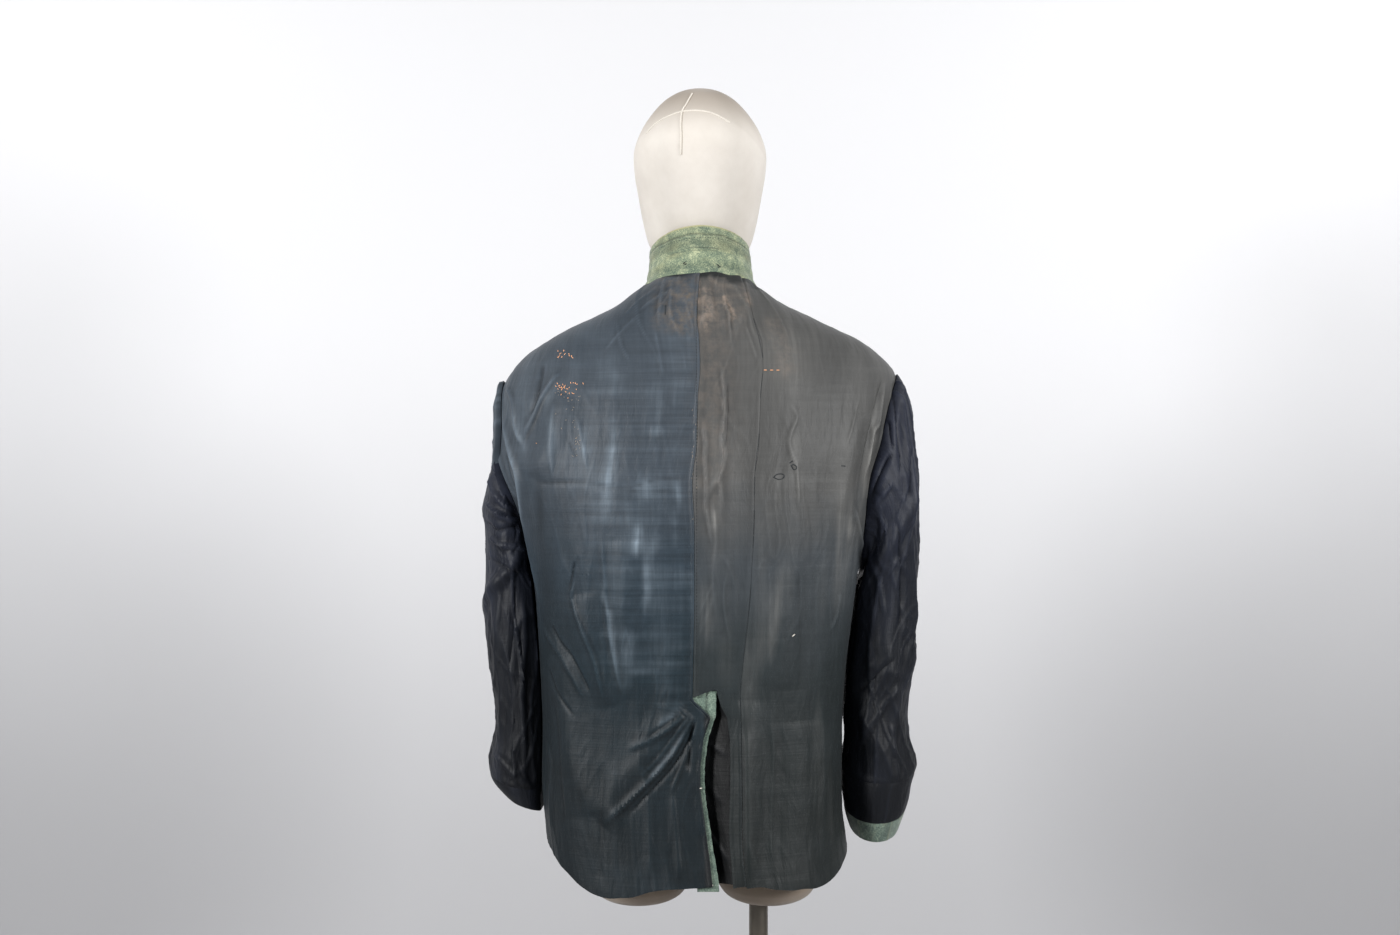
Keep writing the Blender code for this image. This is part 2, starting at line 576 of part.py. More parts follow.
def sleeve_fold_rise(side, angle, z):
    """How far the sleeve's folds lift it at one place."""
    rise = 0.0
    for fold_side, middle, z_mid, spread, z_spread, slant, height in SLEEVE_FOLDS:
        if fold_side != side:
            continue
        up = (z - z_mid) / z_spread
        turn = (math.degrees(angle) - middle - slant * up + 180) % 360 - 180
        rise += height * math.exp(-((turn / spread) ** 2)) * math.exp(-(up**2))
    return rise


def sleeve_piece(name, side, rows, first, last, count, finish):
    """A tube of the sleeve between two row positions, with a short straight edge at the armhole."""

    def place(across, along):
        step = round(along * count)
        position = first + (last - first) * along
        if first == 0 and step > 0:
            position = 0.6 + (last - 0.6) * (step - 1) / (count - 1)
        return sleeve_point(side, rows, position, 2 * math.pi * across)

    return cloth(name, 2 * ARMHOLE_ROWS, count, place, CLOTH, finish, tube=True)


def make_sleeves():
    """Both sleeve linings, their cuff bands, and the wool end of the right cuff."""
    black = material("lining_black", LINING_BLACK, 0.55)
    wool = material("wool_green", WOOL_GREEN, 0.9)
    row_gap = 0.03  # the seam gap as a share of the space between two sleeve rows
    last_right, last_left = len(SLEEVE_RIGHT_ROWS) - 1, len(SLEEVE_LEFT_ROWS) - 1
    sleeve_piece("sleeve_right", RIGHT, SLEEVE_RIGHT_ROWS, 0, CUFF_START_RIGHT, SLEEVE_ROWS, black)
    sleeve_piece("cuff_right", RIGHT, SLEEVE_RIGHT_ROWS, CUFF_START_RIGHT + row_gap, CUFF_END_RIGHT, 3, black)
    sleeve_piece("cuff_wool_right", RIGHT, SLEEVE_RIGHT_ROWS, CUFF_END_RIGHT + row_gap, last_right, 2, wool)
    sleeve_piece("sleeve_left", LEFT, SLEEVE_LEFT_ROWS, 0, CUFF_START_LEFT, SLEEVE_ROWS, black)
    sleeve_piece("cuff_left", LEFT, SLEEVE_LEFT_ROWS, CUFF_START_LEFT + row_gap, last_left, 2, black)


def make_collar():
    """The stand and the fall of the collar, open at the front."""
    wool = material("wool_green", WOOL_GREEN, 0.9)
    neck = BODY_ROWS[NECK_ROW]
    for name, rows in (("collar_stand", COLLAR_STAND_ROWS), ("collar_fall", COLLAR_FALL_ROWS)):

        def place(across, along, rows=rows):
            row = row_at(rows, along * (len(rows) - 1))
            angle = COLLAR_FRONT_GAP_ANGLE + (2 * math.pi - 2 * COLLAR_FRONT_GAP_ANGLE) * across
            depth = row[3] if math.cos(angle) > 0 else row[2]
            x, y = row[1] * math.sin(angle), depth * math.cos(angle)
            height = row[0] * (1 - COLLAR_FRONT_DROP * (1 + y / depth))
            z = neck[0] - neck[6] * y + height
            return Vector((x, y, z + SHOULDER_SKEW * x))

        cloth(name, 28, 2, place, WOOL, wool)


def closed_loft(name, columns, rings):
    """A closed body through rings, each a function of its column; the first and last close to a point."""

    def place(across, along):
        return rings[round(along * (len(rings) - 1))](round(across * columns) % columns)

    mesh = mapped_grid(name, columns, len(rings) - 1, place, close=True)
    body = bmesh.new()
    body.from_mesh(mesh)
    bmesh.ops.dissolve_degenerate(body, edges=body.edges, dist=1e-6)
    bmesh.ops.recalc_face_normals(body, faces=body.faces)
    body.to_mesh(mesh)
    body.free()
    return mesh


def oval(columns, height, half_width, half_depth, centre_y, centre_x=0.0):
    """An oval ring at one height, as a function of its column."""

    def ring(column):
        angle = 2 * math.pi * column / columns
        return Vector((centre_x + half_width * math.sin(angle), centre_y - half_depth * math.cos(angle), height))

    return ring


def form_columns():
    """Where the form's columns lie: side, face, and share of the girth, under every second cloth column."""
    places = []
    for step in range(CENTRE_COLUMNS // 2):
        places.append((RIGHT, BACK, ("centre", 2 * step / CENTRE_COLUMNS)))
    for step in range(SIDE_COLUMNS // 2):
        places.append((RIGHT, BACK, ("side", 2 * step / SIDE_COLUMNS)))
    for step in range(FRONT_SIDE_COLUMNS // 2):
        places.append((RIGHT, FRONT, ("whole", 1 - 2 * step / FRONT_SIDE_COLUMNS)))
    for step in range(FRONT_SIDE_COLUMNS // 2):
        places.append((LEFT, FRONT, ("whole", 2 * step / FRONT_SIDE_COLUMNS)))
    for step in range(LEFT_COLUMNS // 2):
        places.append((LEFT, BACK, ("whole", 1 - 2 * step / LEFT_COLUMNS)))
    return places


def form_ring(position, share=1.0, height=None):
    """The dress form's section at a row position: the body surface drawn in by its ease."""
    row = row_at(BODY_ROWS, position)

    def ring(column):
        side, face, (part, step) = form_columns()[column]
        whole = quarter_section(row, face)[2][-1]
        seam = side_seam_girth(0)(position)
        girth = {"whole": whole * step, "centre": seam * step, "side": seam + (whole - seam) * step}[part]
        point = body_surface(position, face, side * girth)
        point -= body_normal(position, face, side * girth) * max(row[7], 0.0005)
        return Vector((point.x * share, point.y * share, point.z if height is None else height))

    return ring


def make_form():
    """The dress form: torso, neck, egg head and two thigh ends in one body."""
    cream = material("form_cloth", FORM_CREAM, 0.8)
    hip = row_of_height(HIP_HEIGHT)
    count = len(form_columns())
    rings = [form_ring(hip, share, height) for height, share in SEAT_CLOSE_ROWS]
    rings += [form_ring(row_of_height(height)) for height in FORM_HEIGHTS]
    rings += [form_ring(position) for position in SHOULDER_POSITIONS[:-1]]
    rings.append(form_ring(NECK_ROW, NECK_SHARE))
    rings += [oval(count, height, radius, radius, NECK_CENTRE_Y) for height, radius in NECK_FORM_ROWS]
    torso = add_object("dress_form", closed_loft("dress_form", count, rings), cream)
    extras = [closed_loft("head", 22, [oval(22, *row) for row in HEAD_ROWS])]
    for centre_x in THIGH_CENTRES.values():
        extras.append(closed_loft("thigh", 18, [oval(18, *row, centre_x) for row in THIGH_ROWS]))
    joined = bpy.data.collections.new("joined_pieces")
    bpy.context.scene.collection.children.link(joined)
    for number, mesh in enumerate(extras):
        piece = bpy.data.objects.new(f"joined_{number}", mesh)
        joined.objects.link(piece)
        piece.hide_render = True
        union = torso.modifiers.new(f"join_{number}", "BOOLEAN")
        union.operation = "UNION"
        union.object = piece


def make_stand():
    """The steel pole under the right thigh end, and its round base plate."""
    steel = material("stand_steel", STEEL_GREY, 0.35, 1.0)
    pole_foot = BASE_THICKNESS + SEAM_GAP
    pole_top = THIGH_FOOT_HEIGHT - SEAM_GAP
    for name, radius, foot, top, x, sides in (
        ("stand_pole", POLE_RADIUS, pole_foot, pole_top, POLE_X, 20),
        ("stand_base", BASE_RADIUS, 0.0, BASE_THICKNESS, 0.0, 48),
    ):
        shape = bmesh.new()
        bmesh.ops.create_cone(shape, cap_ends=True, segments=sides, radius1=radius, radius2=radius, depth=top - foot)
        mesh = bpy.data.meshes.new(name)
        shape.to_mesh(mesh)
        shape.free()
        add_object(name, mesh, steel).location = (x, 0, (foot + top) / 2)


make_body()
make_vent()
make_sleeves()
make_collar()
make_form()
make_stand()
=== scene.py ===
# %% [markdown]
# # A field jacket worn inside out on a dress form
#
# The real object is a wool field jacket that was turned inside out, so its satin lining faces outwards.
# The green wool only shows at the collar, at the right cuff and in the torn vent at the back. The jacket
# hangs on a limbless dress form covered in cream cotton.
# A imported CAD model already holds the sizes. This lesson loads it first and then cuts each cloth panel
# again from the same measurements, on a much finer grid, so that the cloth can be creased, dyed and sewn.

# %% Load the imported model
import math

import bpy
import numpy as np
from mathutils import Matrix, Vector
from mathutils.bvhtree import BVHTree


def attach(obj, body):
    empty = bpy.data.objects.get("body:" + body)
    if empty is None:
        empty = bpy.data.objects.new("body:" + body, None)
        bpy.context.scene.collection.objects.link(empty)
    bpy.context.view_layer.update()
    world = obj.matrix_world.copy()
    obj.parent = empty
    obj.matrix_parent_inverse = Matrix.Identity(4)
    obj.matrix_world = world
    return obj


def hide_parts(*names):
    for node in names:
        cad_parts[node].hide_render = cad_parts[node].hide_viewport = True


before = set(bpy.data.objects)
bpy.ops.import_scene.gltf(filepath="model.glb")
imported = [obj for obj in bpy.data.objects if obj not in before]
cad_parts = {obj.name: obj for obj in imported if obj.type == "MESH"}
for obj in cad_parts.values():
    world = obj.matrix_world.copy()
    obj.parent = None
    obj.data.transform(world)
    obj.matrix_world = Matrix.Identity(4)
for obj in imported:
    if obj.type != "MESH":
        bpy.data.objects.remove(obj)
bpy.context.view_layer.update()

# %% [markdown]
# ## The photograph's view
#
# The photograph was taken level, from behind the jacket, at about the height of its shoulder blades.
# A camera needs only a place, a turn and a lens. A 42 mm lens at 1.9 m gives the jacket the same
# outline as in the photograph, so every later step can be compared with it line by line.

# %% Camera
lens = bpy.data.cameras.new("photo_view")
lens.sensor_width, lens.lens = 36, 42
camera = bpy.data.objects.new("photo_view", lens)
camera.location = (0, -1.9, 1.34)
camera.rotation_euler = (math.radians(90), 0, 0)
bpy.context.scene.collection.objects.link(camera)
bpy.context.scene.camera = camera
bpy.context.scene.view_settings.view_transform = "Standard"
print("camera at", tuple(camera.location), "with a", lens.lens, "mm lens")

# %% [markdown]
# ## Measurements of the jacket
#
# All body panels lie on one smooth surface, as the pieces of a real jacket lie on one body. Each row of
# the first table is a level section of it, and a curve runs smoothly through the rows. Walking round a
# section from the centre back gives a girth, so a tailor's two measures, height and girth, name a place.
# The values are in metres and follow the CAD model, apart from the side seam's, which follows the photo
# up to 17 mm nearer the centre. The later tables say where the panels part.

# %% The body surface
CLOTH, WOOL = 0.002, 0.003
SEAM_GAP, LAYER_GAP = 0.0003, 0.0007
HEM_HEIGHT, UNDERARM_HEIGHT, SHOULDER_TIP_HEIGHT = 0.887, 1.225, 1.442
ARMHOLE_HALF_DEPTH, ARMHOLE_BACK_LEFT_DEPTH, SHOULDER_SKEW = 0.062, 0.030, 0.018
LEFT_SWELL = (0.0080, 1.350, 0.030)  # swell of the left shoulder: amount, height and spread
BACK, FRONT, LEFT, RIGHT = -1, 1, -1, 1
# height, half width, back depth, front depth, centre x, squareness, lean, ease over the form
BODY_ROWS = (
    (HEM_HEIGHT, 0.1705, 0.138, 0.132, -0.003, 2.7, 0.00, 0.0200),
    (0.950, 0.1710, 0.130, 0.126, -0.009, 2.6, 0.00, 0.0180),
    (1.070, 0.1720, 0.124, 0.118, -0.008, 2.5, 0.00, 0.0300),
    (1.186, 0.1820, 0.134, 0.124, -0.006, 2.6, 0.00, 0.0280),
    (1.236, 0.1890, 0.139, 0.127, -0.006, 2.6, 0.00, 0.0240),
    (1.279, 0.1985, 0.142, 0.129, -0.006, 2.5, 0.00, 0.0200),
    (1.3255, 0.2105, 0.143, 0.128, -0.008, 2.4, 0.00, 0.0140),
    (1.360, 0.2185, 0.141, 0.125, -0.004, 2.3, 0.00, 0.0120),
    (1.390, 0.2240, 0.138, 0.121, -0.003, 2.2, 0.00, 0.0090),
    (1.420, 0.2265, 0.133, 0.116, -0.002, 2.1, 0.00, 0.0050),
    (SHOULDER_TIP_HEIGHT, 0.2245, 0.127, 0.110, 0.000, 2.0, 0.00, 0.0020),
    (1.461, 0.2105, 0.1195, 0.104, 0.000, 2.0, 0.00, 0.0008),
    (1.480, 0.1870, 0.111, 0.097, -0.001, 2.0, 0.02, 0.0005),
    (1.500, 0.1490, 0.100, 0.088, -0.003, 2.0, 0.05, 0.0005),
    (1.522, 0.1010, 0.085, 0.076, -0.002, 2.0, 0.10, 0.0014),
    (1.546, 0.0630, 0.0660, 0.062, 0.000, 2.0, 0.18, 0.0020),
)
SHOULDER_TIP_ROW, NECK_ROW = 10, 15
# Where the back linings part: height, left lining's edge, wool's edge, right lining's edge
VENT_ROWS = (
    (0.8600, 0.0155, 0.0235, 0.0380),
    (0.8885, 0.0168, 0.0240, 0.0385),
    (0.9145, 0.0175, 0.0230, 0.0400),
    (0.9416, 0.0160, 0.0208, 0.0400),
    (0.9687, 0.0129, 0.0172, 0.0410),
    (0.9900, 0.0100, 0.0145, 0.0415),
    (1.0175, 0.0096, 0.0140, 0.0415),
    (1.0446, 0.0123, 0.0172, 0.0405),
    (1.0685, 0.0200, 0.0248, 0.0370),
    (1.0790, 0.0090, 0.0255, 0.0310),
    (1.0850, 0.0025, 0.0255, 0.0275),
    (1.0890, 0.0000, 0.0255, 0.0255),
    (1.1040, 0.0000, 0.0255, 0.0000),
    (1.5500, 0.0000, 0.0255, 0.0000),
)
# The torn edge above the vent: height, lift of the cloth at the seam, lift at the tear's far end
TEAR_ROWS = ((1.0790, 0.0, 0.0), (1.0890, 0.0, 0.0095), (1.1040, -0.0140, 0.0), (1.1300, 0.0, 0.0))
TEAR_END = 0.0255
SIDE_SEAM_ROWS = ((0.860, 0.052), (0.980, 0.0545), (1.100, 0.0515), (1.196, 0.060), (1.317, 0.0665),
                  (1.474, 0.069), (1.570, 0.046))
SECTION_SAMPLES = 401


def smooth(value):
    """0 below 0, 1 above 1, and a soft step between."""
    value = np.clip(value, 0, 1)
    return value * value * (3 - 2 * value)


def rows_at(table, positions):
    """Rows of a table at positions between its rows, on a smooth curve through them."""
    rows = np.array(table, float)
    last = len(rows) - 1
    positions = np.clip(np.asarray(positions, float), 0, last)
    first = np.minimum(positions.astype(int), last - 1)
    share = (positions - first)[..., None]
    p0, p1 = rows[np.maximum(first - 1, 0)], rows[first]
    p2, p3 = rows[first + 1], rows[np.minimum(first + 2, last)]
    share_2, share_3 = share**2, share**3
    return (
        (2 * share_3 - 3 * share_2 + 1) * p1
        + (share_3 - 2 * share_2 + share) * (p2 - p0) / 2
        + (3 * share_2 - 2 * share_3) * p2
        + (share_3 - share_2) * (p3 - p1) / 2
    )


def read(table, heights, column):
    """One column of a table whose first column is a height, in straight lines between rows."""
    rows = np.array(table, float)
    return np.interp(heights, rows[:, 0], rows[:, column])


def heights_of(positions):
    """The heights of row positions on the body surface."""
    return rows_at(BODY_ROWS, positions)[..., 0]


ROW_SAMPLES = np.linspace(0, NECK_ROW, NECK_ROW * 20 + 1)
HEIGHT_SAMPLES = heights_of(ROW_SAMPLES)


def positions_of(heights):
    """Where heights lie among the rows of the body surface."""
    return np.interp(heights, HEIGHT_SAMPLES, ROW_SAMPLES)


def quarter_sections(positions, face):
    """For each row position, a quarter of the body's section: its width, its depth and its girth so far."""
    rows = rows_at(BODY_ROWS, positions)
    angle = np.linspace(0, math.pi / 2, SECTION_SAMPLES)
    power = (2 / rows[:, 5])[:, None]
    across = rows[:, 1:2] * np.sin(angle) ** power
    outwards = (rows[:, 2:3] if face == BACK else rows[:, 3:4]) * np.abs(np.cos(angle)) ** power
    steps = np.hypot(np.diff(across), np.diff(outwards))
    return across, outwards, np.concatenate([np.zeros((len(rows), 1)), np.cumsum(steps, axis=1)], axis=1)


def left_swell(height, share):
    """How much further out the left side swells, share being 1 at the outline."""
    amount, middle, spread = LEFT_SWELL
    return amount * np.exp(-(((height - middle) / spread) ** 2)) * share**3


def body_points(positions, face, girth):
    """Points of the body surface: one row for each position, at that row's girths."""
    rows = rows_at(BODY_ROWS, positions)
    across, outwards, girths = quarter_sections(positions, face)
    x = np.stack([np.interp(abs(g), so_far, width) for g, so_far, width in zip(girth, girths, across)])
    y = (face
         * np.stack([np.interp(abs(g), so_far, depth) for g, so_far, depth in zip(girth, girths, outwards)]))
    swell = np.where(girth < 0, left_swell(rows[:, 0:1], abs(x) / rows[:, 1:2]), 0)
    x = rows[:, 4:5] + np.where(girth >= 0, 1, -1) * x - swell
    z = rows[:, 0:1] - rows[:, 6:7] * y
    share = abs(x / rows[:, 1:2])
    side_lift = np.where(x < 0, 0.030 * share**6, 0.032 * share**9)
    left_dip = 0.0165 * np.exp(-(((x + 0.100) / 0.045) ** 2))
    right_dip = 0.0100 * np.exp(-(((x - 0.130) / 0.050) ** 2))
    z = z + (1 - smooth((z - HEM_HEIGHT) / 0.16)) * (side_lift - left_dip - right_dip)
    return np.stack([x, y, z + SHOULDER_SKEW * x * smooth((z - 1.2) / 0.25)], axis=-1)


def armhole_reach(face, side):
    """How far the widest part of an armhole reaches to the back or to the front."""
    return ARMHOLE_BACK_LEFT_DEPTH if face == BACK and side == LEFT else ARMHOLE_HALF_DEPTH


def outer_girths(positions, face, side):
    """The girth where a panel ends in each row: the side seam, the armhole's edge, or the shoulder seam."""
    across, outwards, girths = quarter_sections(positions, face)
    middle = (UNDERARM_HEIGHT + SHOULDER_TIP_HEIGHT) / 2
    share = (heights_of(positions) - middle) / (SHOULDER_TIP_HEIGHT - middle)
    depth = armhole_reach(face, side) * np.sqrt(np.maximum(0, 1 - share * share))
    edge = [np.interp(d, out[::-1], so_far[::-1]) for d, out, so_far in zip(depth, outwards, girths)]
    return np.where(depth > 0, edge, girths[:, -1] - SEAM_GAP / 2)


def outward(points, closed=False, centre=(0.0, 0.0)):
    """Unit normals of a grid of points, turned away from an upright line through centre."""
    across = ((np.roll(points, -1, axis=1) - np.roll(points, 1, axis=1)) if closed
              else np.gradient(points, axis=1))
    normal = np.cross(across, np.gradient(points, axis=0))
    normal /= np.linalg.norm(normal, axis=-1, keepdims=True) + 1e-15
    facing = (normal[..., :2] * (points[..., :2] - np.array(centre))).sum(axis=-1).mean()
    return normal if facing > 0 else -normal


print("body surface:", len(BODY_ROWS), "sections from", HEM_HEIGHT, "to", BODY_ROWS[-1][0], "m")

# %% [markdown]
# ## Charts of the creases
#
# What makes this lining look worn is where its creases lie, and those don't repeat, so they are charted
# one by one. Each line is a path of x and height in millimetres, as seen from behind, followed by the
# spread on its left and on its right and by how high it stands. A negative height is a hollow.
# A second chart holds the streaks where the satin gleams, or lies dark, painted into its colour as
# highlight and shade, with a strength as its last value.

# %% Creases and streaks of the back
LEFT_CREASES = (
    (((-7, 1074), (-13, 1057), (-30, 1026), (-56, 997), (-87, 966), (-108, 948)), 9.9, 2.2, 4.0),
    (((-3, 1070), (-10, 1050), (-25, 1021), (-51, 991), (-81, 960)), 2.6, 2.6, -3.2),
    (((-10, 1074), (-24, 1053), (-45, 1024), (-66, 1004)), 2.2, 3.3, 2.0),
    (((-5, 1064), (-9, 1043), (-20, 1015), (-33, 985)), 2.2, 2.8, 2.0),
    (((-13, 1077), (-36, 1062), (-62, 1042)), 2.2, 3.3, -1.8),
    (((-11, 1079), (-39, 1052), (-82, 1031)), 6.6, 3.8, 2.6),
    (((-15, 1084), (-30, 1080), (-49, 1081)), 3.3, 3.3, 1.5),
    (((-7, 1066), (-11, 1039), (-13, 1006)), 4.4, 4.4, -3.0),
    (((2, 1071), (5, 1024), (0, 990), (4, 937)), 8.8, 8.8, 3.0),
    (((-174, 1457), (-177, 1437), (-183, 1410), (-190, 1395)), 5.5, 5.5, -3.0),
    (((-153, 1446), (-165, 1430), (-176, 1412), (-183, 1395), (-196, 1371)), 7.7, 4.4, 4.0),
    (((-222, 1437), (-210, 1416), (-205, 1382), (-196, 1364)), 4.4, 4.4, 2.5),
    (((-228, 1417), (-220, 1388), (-214, 1362), (-204, 1337), (-200, 1315), (-197, 1282), (-191, 1253),
      (-182, 1214), (-172, 1169)), 5.5, 6.6, 4.0),
    (((-229, 1360), (-222, 1339), (-214, 1321), (-204, 1303)), 4.4, 3.3, 3.0),
    (((-219, 1358), (-212, 1331), (-203, 1312)), 3.3, 3.3, -2.5),
    (((-158, 1414), (-160, 1370), (-160, 1325)), 5.5, 5.5, 1.5),
    (((-142, 1367), (-137, 1359), (-133, 1350)), 2.2, 2.2, -1.4),
    (((-133, 1396), (-127, 1364), (-122, 1335)), 4.4, 4.4, 1.3),
    (((-104, 1270), (-105, 1244), (-99, 1165), (-90, 1115), (-81, 1085)), 3.3, 5.5, 1.5),
    (((-136, 1240), (-142, 1203)), 3.3, 3.3, -2.0),
    (((-139, 1223), (-138, 1195), (-127, 1167), (-114, 1133), (-108, 1106), (-104, 1084)), 4.4, 3.3, 2.5),
    (((-167, 1170), (-155, 1149), (-140, 1132), (-127, 1109), (-118, 1090)), 3.9, 3.9, -2.6),
    (((-176, 1166), (-164, 1146), (-148, 1127), (-135, 1105), (-126, 1085)), 4.4, 4.4, 2.0),
    (((-168, 1119), (-159, 1100), (-151, 1087), (-134, 1063)), 3.3, 3.3, -1.6),
    (((-195, 1319), (-168, 1324), (-126, 1323), (-80, 1319), (-43, 1327), (-2, 1329)), 2.6, 2.6, -1.1),
    (((-126, 1319), (-80, 1316), (-56, 1314), (-2, 1319)), 2.2, 2.2, -0.9),
    (((-174, 1037), (-166, 1012), (-167, 968), (-164, 923)), 4.4, 4.4, 2.0),
    (((-160, 1092), (-155, 1049), (-153, 993), (-148, 940)), 5.5, 5.5, -1.5),
    (((-65, 1023), (-56, 979), (-54, 926), (-56, 889)), 11.0, 11.0, 2.0),
    (((-109, 1020), (-106, 978), (-109, 912), (-111, 880)), 11.0, 11.0, -1.5),
    (((-30, 990), (-26, 948), (-22, 895)), 8.8, 8.8, 2.0),
    (((-31, 1536), (-50, 1527), (-67, 1513)), 2.8, 2.8, 1.5),
    (((-45, 1543), (-65, 1528), (-85, 1506)), 2.8, 2.8, 1.0),
    (((-67, 1509), (-86, 1490), (-105, 1467)), 4.4, 4.4, 1.2),
    (((-92, 1502), (-87, 1475), (-76, 1455)), 2.2, 2.2, 0.9),
    (((-49, 1491), (-44, 1463), (-39, 1435)), 3.3, 3.3, 1.0),
)
RIGHT_CREASES = (
    (((2, 1400), (5, 1370), (5, 1346), (6, 1316), (6, 1294), (14, 1251)), 2.8, 4.4, 2.0),
    (((21, 1463), (26, 1424), (26, 1400), (23, 1370), (25, 1353), (21, 1327), (24, 1284)), 3.3, 4.4, 2.2),
    (((29, 1435), (30, 1400), (27, 1359)), 3.3, 3.3, -1.2),
    (((24, 1522), (31, 1512), (33, 1500)), 2.2, 2.2, 1.5),
    (((50, 1496), (57, 1474), (62, 1457)), 2.8, 2.8, 1.2),
    (((0, 1537), (3, 1514), (0, 1491)), 3.3, 3.3, 1.0),
    (((14, 1305), (17, 1262), (14, 1219), (17, 1175)), 4.4, 4.4, 1.2),
    (((93, 1413), (105, 1396), (96, 1368), (105, 1335), (105, 1286)), 4.4, 4.4, 1.4),
    (((176, 1417), (168, 1392), (159, 1364)), 1.8, 1.8, 1.0),
    (((208, 1444), (204, 1428), (198, 1389), (192, 1380), (186, 1344), (184, 1328)), 3.3, 4.4, 3.0),
    (((216, 1433), (214, 1414), (214, 1394), (205, 1381), (200, 1363), (199, 1342), (197, 1325), (195, 1312)),
     3.3, 3.3, 3.5),
    (((203, 1440), (194, 1403), (181, 1354), (173, 1304)), 5.5, 5.5, -3.0),
    (((169, 1298), (183, 1246), (175, 1219)), 4.4, 4.4, 2.5),
    (((155, 1204), (151, 1176), (142, 1158)), 4.4, 4.4, 1.5),
    (((41, 1066), (44, 1023), (44, 980), (45, 927), (47, 891)), 8.8, 15.4, 5.0),
    (((76, 1086), (79, 1021), (76, 946), (78, 894)), 9.9, 9.9, 1.5),
    (((133, 1093), (135, 1015), (133, 940), (129, 888)), 11.0, 11.0, 1.5),
    (((105, 1240), (109, 1151), (108, 1085)), 9.9, 9.9, -1.2),
)
